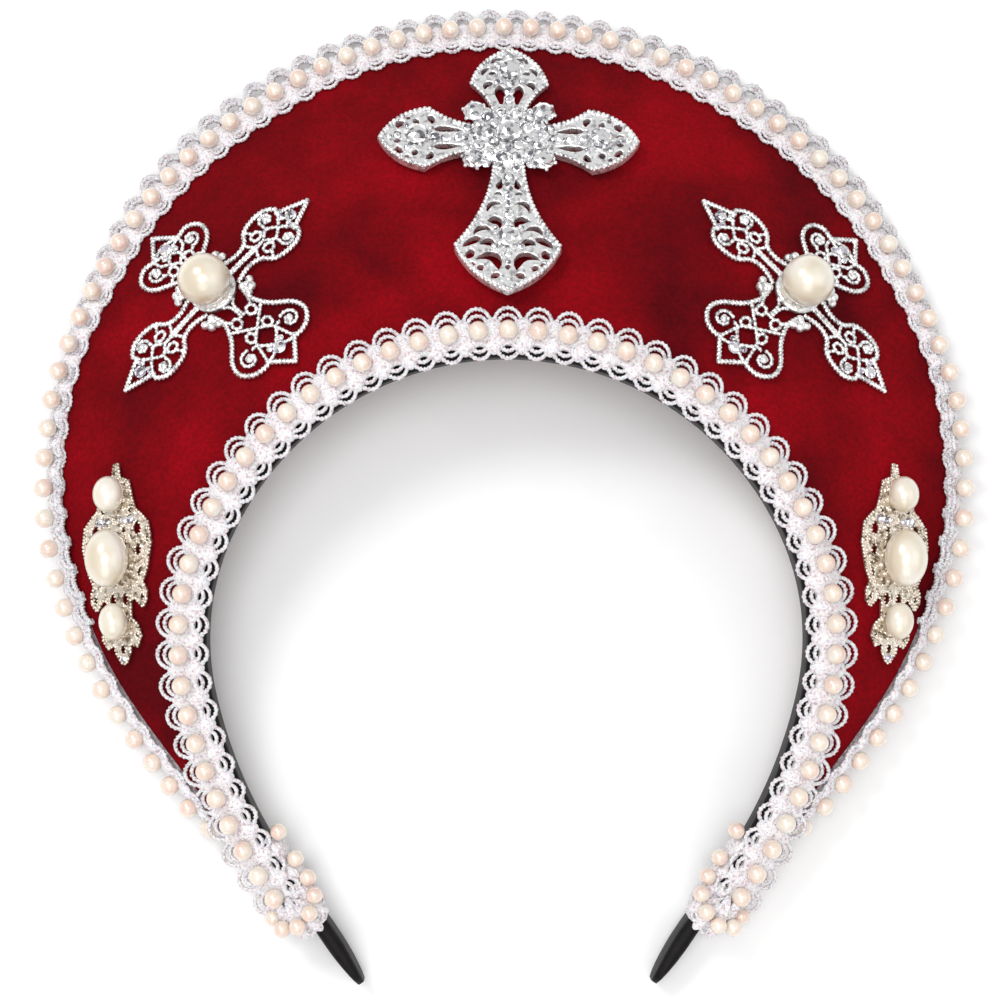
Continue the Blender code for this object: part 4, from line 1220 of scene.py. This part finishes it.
def comma(x0, y0, x1, y1, width, sag, head, steps=9):
    """A comma-shaped opening from one flat point to another, bowed to the left of the way, and
    widest at the share head of the way along."""
    spine = [bowed((x0, y0), (x1, y1), sag, i / steps) for i in range(steps + 1)]
    upper, lower = [], []
    for i, (x, y) in enumerate(spine):
        (ax, ay), (bx, by) = spine[max(0, i - 1)], spine[min(steps, i + 1)]
        run = math.hypot(bx - ax, by - ay)
        swell = math.sin(math.pi * (i / steps) ** (math.log(0.5) / math.log(head))) ** 0.75
        half = 0.5 * width * swell
        upper.append((x - half * (by - ay) / run, y + half * (bx - ax) / run))
        lower.append((x + half * (by - ay) / run, y - half * (bx - ax) / run))
    return upper + lower[-2:0:-1]


def gap_to(point, outline):
    """How near a flat point comes to a closed outline."""
    px, py = point
    least = 1.0e9
    for (x0, y0), (x1, y1) in zip(outline, outline[1:] + outline[:1]):
        dx, dy = x1 - x0, y1 - y0
        t = max(0.0, min(1.0, ((px - x0) * dx + (py - y0) * dy) / max(dx * dx + dy * dy, 1.0e-9)))
        least = min(least, math.hypot(px - x0 - t * dx, py - y0 - t * dy))
    return least


def inside(point, outline):
    """Whether a flat point lies within a closed outline."""
    px, py = point
    crossings = 0
    for (x0, y0), (x1, y1) in zip(outline, outline[1:] + outline[:1]):
        if (y0 > py) != (y1 > py) and px < x0 + (py - y0) * (x1 - x0) / (y1 - y0):
            crossings += 1
    return crossings % 2 == 1


def grown(outline, share):
    """A closed outline made larger or smaller about its middle."""
    cx = sum(x for x, _ in outline) / len(outline)
    cy = sum(y for _, y in outline) / len(outline)
    return [(cx + share * (x - cx), cy + share * (y - cy)) for x, y in outline]


EDGE_WALLS = 2.2                     # the metal along the edge, in widths of a thin wall
DRAW_IN = (18, 0.95)                 # how often an opening may be drawn in, and by how much


def with_walls(edge, openings, wall):
    """The openings, each drawn in about its middle until metal of the wall's width is left."""
    kept = []
    for outline in openings:
        for _ in range(DRAW_IN[0]):
            clear = all(inside(p, edge) and gap_to(p, edge) > EDGE_WALLS * wall for p in outline)
            clear = clear and all(
                min(gap_to(p, other) for p in outline) > wall and not inside(outline[0], other)
                and min(gap_to(p, outline) for p in other) > wall and not inside(other[0], outline)
                for other in kept
            )
            if clear:
                kept.append(outline)
                break
            outline = grown(outline, DRAW_IN[1])
    return kept


def beads_along(line, spacing, size):
    """Rows of x, y and size evenly along a flat line."""
    rows, left = [], 0.0
    for (x0, y0), (x1, y1) in zip(line, line[1:]):
        length = math.hypot(x1 - x0, y1 - y0)
        while left < length:
            t = left / length
            rows.append((x0 + (x1 - x0) * t, y0 + (y1 - y0) * t, size))
            left += spacing
        left -= length
    return rows


def pierced_mesh(name, outlines, thickness, rounding, seat):
    """A plate of the outlines with the inner ones left open and its edges rounded, laid down."""
    curve = bpy.data.curves.new(name, "CURVE")
    curve.dimensions = "2D"
    curve.fill_mode = "BOTH"
    curve.extrude = (0.5 * thickness - rounding) * MM
    curve.bevel_depth = rounding * MM
    curve.bevel_resolution = 2
    curve.offset = -rounding * MM
    for outline in outlines:
        line = curve.splines.new("POLY")
        line.use_cyclic_u = True
        line.points.add(len(outline) - 1)
        for knot, (x, y) in zip(line.points, outline):
            knot.co = (x * MM, y * MM, 0.0, 1.0)
    drawing = bpy.data.objects.new(name, curve)
    bpy.context.scene.collection.objects.link(drawing)
    graph = bpy.context.evaluated_depsgraph_get()
    mesh = bpy.data.meshes.new_from_object(drawing.evaluated_get(graph), depsgraph=graph)
    bpy.data.objects.remove(drawing)
    body = bmesh.new()
    body.from_mesh(mesh)
    bmesh.ops.remove_doubles(body, verts=body.verts, dist=0.005 * MM)
    bmesh.ops.recalc_face_normals(body, faces=body.faces)
    for vertex in body.verts:
        x, y, z = vertex.co / MM
        vertex.co = LAY @ seat.at(x, y, z + 0.5 * thickness)
    body.to_mesh(mesh)
    body.free()
    return mesh


print("a crowded opening may shrink to", round(DRAW_IN[1] ** DRAW_IN[0], 2), "of its size")

# %% [markdown]
# ## The pierced cross
# One casting in bright plate: four arms that flare to a point, cut through between scrolls,
# with a beaded edge, a domed middle crowded with stones and a chain of stones down each
# arm. The plate is a filled curve with its openings as inner curves, since Blender rounds
# both kinds of edge in one go. Beads and stones go on with the setting tree.

# %% Cross casting
CROSS_THICKNESS = 2.0
CROSS_ARMS = (
    # arm, direction in degrees, length, shoulder half width, shoulder to tip, waist half width,
    # how hollow its flanks are
    ("right", 0.0, 30.2, 8.9, 11.0, 3.9, 1.6),
    ("top", 90.0, 27.8, 9.1, 10.8, 3.5, 1.6),
    ("left", 180.0, 30.2, 8.9, 11.0, 3.9, 1.6),
    ("bottom", 270.0, 43.4, 12.0, 11.9, 3.6, 2.5),
)
OPENINGS = {
    # start: distance from the middle, distance from the arm's line; the same for the end; width
    # at the widest, how far it bows, and how far along it is widest. All in mm but the last.
    "top": (
        (9.2, 1.7, 16.0, 2.3, 1.9, 0.0, 0.70), (16.6, 3.9, 14.9, 5.6, 1.2, -0.7, 0.40),
        (19.6, 3.2, 19.4, 4.7, 0.8, -0.4, 0.50), (21.4, 4.6, 19.2, 6.3, 0.8, -0.5, 0.50),
        (24.3, 1.7, 22.9, 4.3, 0.9, -0.4, 0.50),
    ),
    "side": (
        (10.6, 2.1, 17.2, 2.6, 1.3, 0.2, 0.65), (17.8, 4.1, 18.9, 6.2, 1.2, 0.5, 0.55),
        (21.2, 3.7, 21.7, 5.4, 1.1, 0.0, 0.50), (22.9, 5.4, 23.6, 6.0, 0.8, 0.0, 0.50),
        (24.2, 4.4, 25.5, 2.7, 1.3, 0.5, 0.50), (24.8, 1.0, 26.4, 1.3, 0.9, 0.0, 0.50),
    ),
    "bottom": (
        (11.5, 1.6, 14.7, 2.2, 1.2, 0.0, 0.70), (16.5, 1.6, 16.4, 3.2, 0.6, 0.5, 0.50),
        (19.1, 1.6, 21.1, 4.6, 0.95, 1.2, 0.50), (26.0, 1.9, 24.0, 4.6, 1.7, 1.3, 0.60),
        (26.6, 3.9, 27.7, 7.6, 1.1, 1.2, 0.50), (28.8, 6.2, 31.3, 10.0, 1.4, 0.3, 0.40),
        (31.3, 3.2, 30.6, 6.1, 1.5, 1.1, 0.50), (37.4, 2.1, 34.8, 7.0, 1.9, 2.4, 0.45),
        (32.0, 8.4, 34.3, 9.4, 1.5, -0.5, 0.50), (35.6, 7.8, 36.6, 8.0, 1.1, 0.0, 0.50),
        (37.0, 5.3, 37.6, 6.6, 1.3, 0.2, 0.50), (39.0, 1.7, 39.9, 3.6, 1.2, 0.3, 0.50),
    ),
}
MIDDLE_OPENING = (36.0, 0.0, 37.5, 0.0, 1.2, 0.0, 0.40)
LEAST_WALL = 0.27                    # the thinnest metal between two openings, in mm
OPENING_GROWTH = (1.22, 1.08)        # how much wider and larger they are than drawn
TIP_BULGE = 1.8                      # how far the arms' end edges are bowed out, in mm
CROSS_ROUNDING = 0.32


def arm_edge(length, shoulder, back, waist, hollow, steps=10):
    """Once round one arm, from its root to its tip and back."""
    root, neck, tip = (waist + 0.6, -waist), (length - back, -shoulder), (length, 0.0)
    lower = [bowed(root, neck, hollow, i / steps) for i in range(steps)]
    lower += [bowed(neck, tip, -TIP_BULGE, i / steps) for i in range(steps)]
    return lower + [tip] + [(x, -y) for x, y in reversed(lower)]


cross_edge, openings = [], []
for name, degrees, length, shoulder, back, waist, hollow in CROSS_ARMS:
    cross_edge += turned(arm_edge(length, shoulder, back, waist, hollow), degrees)
    for x0, y0, x1, y1, width, sag, head in OPENINGS.get(name, OPENINGS["side"]):
        outline = comma(x0, y0, x1, y1, OPENING_GROWTH[0] * width, sag, head)
        outline = grown(outline, OPENING_GROWTH[1])
        openings.append(turned(outline, degrees))
        openings.append(turned([(px, -py) for px, py in outline], degrees))
openings.append(turned(comma(*MIDDLE_OPENING), 270.0))
drawn = len(openings)
openings = with_walls(cross_edge, openings, LEAST_WALL)
print("openings through the cross:", len(openings), "of", drawn)
casting = pierced_mesh(
    "cross_casting", [cross_edge] + openings, CROSS_THICKNESS, CROSS_ROUNDING, cross_seat,
)
add_piece("cross_casting", casting, silver, "silver_plate", "centre_cross")

# %% Beaded edge and domed middle
MILGRAIN_PITCH = 1.15
MILGRAIN_RADIUS = 0.62
CROSS_BOSS = (9.4, 0.88)             # half width in mm, and its height as a share of its width
BOSS_SCALLOP = 0.035                 # how deep its eight scallops are, as a share of its width
BOSS_ROWS = (
    # share of the boss's width, height over the velvet side, in mm
    (1.0, 1.6), (0.99, 2.1), (0.9, 2.7), (0.7, 3.3), (0.45, 3.7), (0.2, 3.85),
)
grain = ball_mesh(8, 5)
inner_edge = []
for _, degrees, length, shoulder, back, waist, hollow in CROSS_ARMS:
    row = arm_edge(length - 0.7, shoulder - 0.35, back - 0.2, waist - 0.4, hollow)
    inner_edge += turned(row, degrees)
rows = beads_along(inner_edge + inner_edge[:1], MILGRAIN_PITCH, MILGRAIN_RADIUS)
milgrain = set_mesh("cross_milgrain", grain, cross_seat.places(rows, CROSS_THICKNESS), silver)
add_piece("cross_milgrain", milgrain, silver, "silver_plate")

radius, oval = CROSS_BOSS
sections = []
for share, height in BOSS_ROWS:
    section = []
    for t in full_turn(48):
        scallop = 1.0 + BOSS_SCALLOP * math.cos(8.0 * t)
        section.append(cross_seat.at(
            radius * share * scallop * math.cos(t),
            radius * oval * share * scallop * math.sin(t), height,
        ))
    sections.append(section)
add_piece("cross_boss", loft("cross_boss", sections), silver, "silver_plate")

# %% Stones of the cross
STONE_RADIUS = 2.75
CROSS_CORNER = (7.9, 7.0)
STONE_SEATS = (("right", 21.1), ("top", 20.4), ("left", 21.1), ("bottom", 29.0))
BOSS_STONE = 3.0                     # radius of the middle stone, in mm
RING_ROWS = (
    # rings of small stones on the boss: radius, count, stone's radius, height, in mm
    (4.6, 9, 1.35, 3.7), (7.6, 14, 1.4, 3.0), (10.2, 18, 1.1, 1.9),
)
ARM_STONES = (
    # round the big stone of each arm: distance past it, distance from the arm's line, radius
    (4.6, 0.0, 0.9), (6.4, 0.0, 0.7), (2.2, -3.0, 0.8),
    (2.2, 3.0, 0.8), (-3.2, -2.9, 0.7), (-3.2, 2.9, 0.7),
)
CHAIN_START, CHAIN_RADIUS = 11.6, 1.3
directions = {name: degrees for name, degrees, *_ in CROSS_ARMS}
corner_x, corner_y = CROSS_CORNER
big_rows = [(x, y, STONE_RADIUS) for x in (-corner_x, corner_x) for y in (-corner_y, corner_y)]
for name, reach in STONE_SEATS:
    big_rows.append((*turned([(reach, 0.0)], directions[name])[0], STONE_RADIUS))
big_stone = stone_mesh(12)
places = cross_seat.places(big_rows, CROSS_THICKNESS + 0.2)
places += cross_seat.places([(0.0, 0.0, BOSS_STONE)], CROSS_THICKNESS + 1.9)
stones = set_mesh("cross_big_stones", big_stone, places, rhinestone, smooth=False, turn=1.0)
names = ["boss"] + ["arm_" + name for name, *_ in CROSS_ARMS]
names += ["corner_%d" % k for k in (1, 2, 3, 4)]
add_piece("cross_big_stones", stones, rhinestone, "crystal", *["cross_stone_" + n for n in names])

small_places = []
for reach, count, size, height in RING_ROWS:
    rows = [
        (reach * math.cos(t), oval * reach * math.sin(t), size)
        for t in full_turn(count, 0.5 * (count % 2))
    ]
    small_places += cross_seat.places(rows, height)
for name, reach in STONE_SEATS:
    chain = spread(CHAIN_START, reach - 4.0, 6 if name == "bottom" else 3)
    rows = [(x, 0.0, CHAIN_RADIUS) for x in chain]
    rows += [(reach + x, y, size) for x, y, size in ARM_STONES]
    rows = [(*turned([(x, y)], directions[name])[0], size) for x, y, size in rows]
    small_places += cross_seat.places(rows, CROSS_THICKNESS - 0.1)
stones = set_mesh(
    "cross_small_stones", stone_mesh(8), small_places, rhinestone, smooth=False, turn=1.5,
)
add_piece("cross_small_stones", stones, rhinestone, "crystal")

# %% Claws
# Six small balls of metal hold each big stone.
CLAW_REACH = 1.02                    # as a share of the stone's radius
CLAW_RADIUS = 0.5
rows = []
for x, y, size in big_rows:
    for k in range(6):
        t = math.pi * (k / 3.0 + 0.25)
        reach = CLAW_REACH * size
        rows.append((x + reach * math.cos(t), y + reach * math.sin(t), CLAW_RADIUS))
claws = set_mesh("cross_claws", grain, cross_seat.places(rows, CROSS_THICKNESS + 0.9), silver)
add_piece("cross_claws", claws, silver, "silver_plate")

# %% [markdown]
# ## Filigree crosses
# These are stampings that copy wirework: a twisted border wire round each arm, finer wires
# that curl up inside, small round grains where wires meet, and a stone near each tip. Each
# wire is a path for the thread tree. Only the right one is made, and the left is its mirror.

# %% Filigree wires
WIRE_HEIGHT = 0.75                   # middle of a wire above the velvet side, in mm
BORDER_WIRE = (1.45, 1.9, 0.6, 0.3)  # thickness, twist, flatness and step, all but it in mm
SCROLL_WIRE = (0.95, 1.2, 0.75, 0.35)
SIDE_BORDER = (
    # half of an arm's outline: distance along it and across it, in mm
    (5.0, 3.4), (9.0, 2.3), (12.4, 3.0), (14.4, 5.4),
    (17.4, 6.4), (21.0, 6.2), (23.2, 4.4), (23.0, 3.1),
)
TOP_BORDER = (
    (5.0, 4.2), (8.4, 3.6), (10.4, 6.2), (12.2, 8.6),
    (14.6, 9.7), (17.0, 9.2), (18.6, 6.8), (18.0, 4.0),
)
BOTTOM_BORDER = (
    (5.0, 4.6), (8.6, 4.2), (13.1, 6.1), (17.2, 9.7),
    (20.6, 10.4), (23.2, 8.4), (24.0, 5.6), (23.6, 4.1),
)
FILIGREE_ARMS = (
    # direction, border, reach of the tip, half width where the tip starts, name of its inner wires
    (0.0, SIDE_BORDER, 29.8, 3.1, "side"),
    (90.0, TOP_BORDER, 23.3, 4.0, "top"),
    (180.0, SIDE_BORDER, 29.8, 3.1, "side"),
    (270.0, BOTTOM_BORDER, 28.4, 4.1, "bottom"),
)
INNER_WIRES = {
    # half of the lattice in each arm: along the arm and across it, in mm
    "side": (
        ((4.6, 0.3), (13.6, 0.3)), ((12.2, 2.8), (13.6, 0.3), (16.2, 0.0)),
        ((16.2, 0.0), (18.3, 1.8), (20.6, 0.0)), ((18.3, 1.8), (18.5, 3.3)),
        ((20.6, 0.0), (22.0, 1.4), (23.0, 3.0)),
        ((14.8, 4.9), (15.6, 3.4)), ((21.9, 1.5), (24.4, 0.0)),
    ),
    "top": (
        ((5.5, 0.3), (10.0, 0.3), (12.4, 0.0)), ((12.4, 0.0), (14.2, 1.8), (16.2, 0.0)),
        ((9.8, 5.2), (11.0, 3.4)), ((12.4, 3.6), (13.1, 5.0)),
        ((14.2, 1.8), (15.6, 3.6), (18.0, 4.0)),
        ((16.2, 0.0), (17.4, 1.9), (18.0, 4.0)),
        ((18.0, 4.0), (19.6, 0.0)), ((10.0, 0.3), (10.9, 1.6)),
    ),
    "bottom": (
        ((3.4, 2.1), (5.2, 1.6), (6.8, 0.4), (10.3, 0.3)), ((11.2, 5.2), (15.5, 0.0)),
        ((15.5, 0.0), (18.5, 2.9), (21.8, 0.0)),
        ((18.5, 2.9), (18.4, 4.6)), ((10.3, 0.3), (10.3, 1.4)),
        ((21.8, 0.0), (23.4, 2.2), (23.6, 4.1)), ((7.6, 4.3), (9.8, 3.0)), ((18.5, 2.9), (23.6, 4.1)),
    ),
}
EYES = {
    # small rings: distance along the arm and across it, radius, in mm
    "side": ((15.7, 2.3, 1.15),),
    "top": ((11.9, 2.5, 1.2),),
    "bottom": ((10.9, 2.3, 1.2), (16.2, 2.6, 1.15)),
}
HOOKS = {"side": (20.1, 3.9, 1.8), "top": (15.1, 5.7, 2.1), "bottom": (19.7, 6.4, 2.3)}
HOOK_TURN = (205.0, -430.0)          # where a hook's curl starts and how far it winds, in degrees
HUB_GRAINS = (
    # in the corners between the arms: the two distances from the middle, radius, in mm
    (5.0, 5.0, 1.1), (6.4, 6.4, 1.2), (7.2, 4.9, 1.05),
    (4.9, 7.2, 1.05), (5.9, 5.2, 0.8), (5.2, 5.9, 0.8),
)


def curl(x, y, radius, start, turn, steps=18):
    """A spiral that winds in to (x, y), from radius, turning from start by turn degrees."""
    points = []
    for i in range(steps + 1):
        t = i / steps
        reach = radius * (1.0 - 0.72 * t)
        angle = math.radians(start + turn * t)
        points.append((x + reach * math.cos(angle), y + reach * math.sin(angle)))
    return points


borders, scrolls, grains, sparks = [], [], [], []
for degrees, border, tip, base, kind in FILIGREE_ARMS:
    edge = smooth_line(border, 7)
    hook_x, hook_y, hook_radius = HOOKS[kind]
    for side in (1.0, -1.0):
        def placed(points):
            return turned([(x, side * y) for x, y in points], degrees)
        borders.append(placed(edge))
        borders.append(placed([(border[-1][0], base), (tip, 0.0)]))
        for wire in INNER_WIRES[kind]:
            scrolls.append(placed(smooth_line(wire, 5)))
        scrolls.append(placed(curl(hook_x, hook_y, hook_radius, *HOOK_TURN)))
        for x, y, radius in EYES[kind]:
            scrolls.append(placed([
                (x + 1.15 * radius * math.cos(t), y + 0.95 * radius * math.sin(t))
                for t in full_turn(12) + [0.0]
            ]))
        grains += [(x, y, 0.95) for x, y in placed([(hook_x, hook_y)])]
        grains += [(x, y, 0.8) for x, y in placed([(border[-1][0], base)])]
    stone_x = tip - 5.3
    sparks += [(x, y, 1.5) for x, y in turned([(stone_x, 0.0)], degrees)]
    beside = turned([(stone_x - 1.6, 1.7), (stone_x - 1.6, -1.7)], degrees)
    sparks += [(x, y, 0.8) for x, y in beside]
    grains += [(x, y, 0.6) for x, y in turned([(tip, 0.0)], degrees)]
    for x, y, size in HUB_GRAINS:
        grains += [(px, py, size) for px, py in turned([(x, y)], degrees)]
for line in scrolls:
    grains += beads_along(line, 1.1, 0.52)

wire_lines = [filigree_seat.line(line, WIRE_HEIGHT) for line in borders]
border_mesh = thread_mesh("right_filigree_border", wire_lines, silver, *BORDER_WIRE)
wire_lines = [filigree_seat.line(line, WIRE_HEIGHT) for line in scrolls]
scroll_mesh = thread_mesh("right_filigree_scrolls", wire_lines, silver, *SCROLL_WIRE)
grain_places = filigree_seat.places(grains, WIRE_HEIGHT)
grain_mesh = set_mesh("right_filigree_grains", grain, grain_places, silver)
spark_mesh = set_mesh(
    "right_filigree_stones", stone_mesh(8), filigree_seat.places(sparks, 0.5), violet_stone,
    smooth=False, turn=1.0,
)


add_pair("filigree_border", border_mesh, silver, "silver_plate", "filigree_cross")
add_pair("filigree_scrolls", scroll_mesh, silver, "silver_plate")
add_pair("filigree_grains", grain_mesh, silver, "silver_plate")
add_pair("filigree_stones", spark_mesh, violet_stone, "crystal")

# %% Cabochons
CROSS_PEARL = (5.8, 5.8, 4.6)        # half width, half height, centre above its base, in mm
CUP_RADIUS = 5.5
CUP_ROWS = ((0.9, 0.0), (1.0, 0.3), (1.0, 1.55), (0.94, 1.75))  # share of it, height in mm


def oval_section(seat, y, half_width, half_height, height):
    """Once round an oval over a place on an ornament's line."""
    return [
        seat.at(half_width * math.cos(t), y + half_height * math.sin(t), height)
        for t in full_turn(32)
    ]


def cabochon_mesh(name, seat, y, half_width, half_height, centre, base):
    """A ball-like pearl cut flat at its back."""
    lowest = -math.asin(min(1.0, centre / max(half_width, centre + 0.1)))
    sections = []
    for j in range(15):
        angle = lowest + (0.497 * math.pi - lowest) * j / 14
        height = base + half_width * (math.sin(angle) - math.sin(lowest))
        shrink = math.cos(angle)
        sections.append(oval_section(seat, y, half_width * shrink, half_height * shrink, height))
    return loft(name, sections)


cabochon = cabochon_mesh("right_cross_cabochon", filigree_seat, 0.0, *CROSS_PEARL, 1.7)
add_pair("cross_cabochon", cabochon, cream, "cabochon_pearl", "cross_pearl")
sections = [
    oval_section(filigree_seat, 0.0, share * CUP_RADIUS, share * CUP_RADIUS, height)
    for share, height in CUP_ROWS
]
add_pair("cross_cup", loft("right_cross_cup", sections), silver, "silver_plate")

# %% [markdown]
# ## Filigree drops
# A thin stamped plate with a spike, two wings, feet and a claw, all its metal covered in
# fine grains, with three pearls glued down its middle and a few small stones beside them.

# %% Drop plate
DROP_THICKNESS = 1.0
DROP_OUTLINE = (
    # distance up the piece, half width, in mm
    (21.4, 0.5), (18.4, 0.9), (17.4, 3.2), (13.9, 4.0), (10.9, 4.9), (9.6, 6.4), (7.6, 8.2),
    (3.2, 8.8), (-2.8, 7.5), (-5.4, 6.3), (-7.4, 7.2), (-9.6, 7.0), (-11.0, 6.0), (-8.8, 4.2),
    (-9.0, 3.0), (-13.2, 2.8), (-14.8, 4.4), (-17.2, 5.0), (-19.4, 3.8), (-18.6, 1.9), (-20.4, 1.9),
    (-23.0, 0.4),
)
DROP_OPENINGS = (
    # start: distance from its line, distance up the piece; the same for the end; width, bow, head
    (5.3, 8.2, 5.5, 4.8, 2.1, 0.0, 0.5), (7.75, 4.9, 7.9, 2.9, 0.7, 0.0, 0.5),
    (7.75, 1.9, 7.0, -0.9, 0.8, 0.2, 0.5), (5.9, 3.2, 5.7, 0.1, 1.5, -0.3, 0.5),
    (6.0, -1.9, 5.2, -4.4, 0.9, 0.1, 0.5), (1.9, 7.3, 2.0, 5.4, 1.1, 0.0, 0.5),
    (1.6, -7.3, 1.6, -10.6, 1.7, 0.0, 0.5), (6.2, -7.4, 5.9, -9.8, 1.0, 0.0, 0.5),
    (4.0, -15.6, 3.8, -18.2, 1.0, 0.0, 0.5), (2.7, 17.0, 3.2, 14.8, 0.7, 0.0, 0.5),
    (3.9, 11.6, 3.2, 10.2, 0.9, 0.0, 0.5),
)
CLAW_OPENING = (0.0, -18.8, 0.0, -20.9, 1.5, 0.0, 0.5)
DROP_WALL = 0.26
DROP_ROUNDING = 0.2
right_half = [(half, y) for y, half in DROP_OUTLINE]
edge = list(reversed(right_half + [(-x, y) for x, y in reversed(right_half)]))
openings = []
for row in DROP_OPENINGS:
    outline = comma(*row)
    openings += [outline, [(-px, py) for px, py in outline]]
openings.append(comma(*CLAW_OPENING))
openings = with_walls(edge, openings, DROP_WALL)
drop_plate = pierced_mesh(
    "right_drop_plate", [edge] + openings, DROP_THICKNESS, DROP_ROUNDING, drop_seat,
)
add_pair("drop_plate", drop_plate, warm_silver, "silver_plate", "drop")

# %% Drop grains
# Granulation: grains soldered along the edges and then all over, wherever there is metal.
EDGE_GRAINS = (0.8, 0.42)            # spacing and radius in mm
OPENING_GRAINS = (0.9, 0.34)
GRAIN_COUNT = 620
GRAIN_RADII = (0.3, 0.55)
GRAIN_BOX = ((-9.0, 9.0), (-23.0, 20.0))
rows = beads_along(edge + edge[:1], *EDGE_GRAINS)
for outline in openings:
    rows += beads_along(outline + outline[:1], *OPENING_GRAINS)
dice = random.Random(11)
while len(rows) < GRAIN_COUNT:
    spot = (dice.uniform(*GRAIN_BOX[0]), dice.uniform(*GRAIN_BOX[1]))
    if inside(spot, edge) and not any(inside(spot, outline) for outline in openings):
        rows.append((*spot, dice.uniform(*GRAIN_RADII)))
grain_places = drop_seat.places(rows, DROP_THICKNESS - 0.05)
drop_grains = set_mesh("right_drop_grains", grain, grain_places, warm_silver)
add_pair("drop_grains", drop_grains, warm_silver, "silver_plate")

# %% Drop stones and pearls
DROP_STONES = (
    # distance from its line, distance up the piece, radius, in mm
    (-3.9, 8.6, 1.15), (3.9, 8.6, 1.15), (0.0, -21.8, 0.9), (-2.1, 8.5, 0.9), (2.1, 8.5, 0.9),
    (3.8, 13.2, 0.8),
)
drop_stones = set_mesh(
    "right_drop_stones", stone_mesh(8), drop_seat.places(DROP_STONES, DROP_THICKNESS - 0.1),
    violet_stone, smooth=False, turn=1.0,
)
add_pair("drop_stones", drop_stones, violet_stone, "crystal")
DROP_PEARLS = (
    # pearl, distance up the piece, half width, half height, centre above its flat base
    ("top", 14.1, 3.35, 4.0, 2.9),
    ("middle", 0.0, 4.7, 6.3, 3.9),
    ("bottom", -13.7, 3.1, 4.0, 2.7),
)
for name, y, *shape in DROP_PEARLS:
    pearl = cabochon_mesh("right_drop_cabochon_" + name, drop_seat, y, *shape, 1.3)
    add_pair("drop_cabochon_" + name, pearl, cream, "cabochon_pearl", "drop_pearl_" + name)
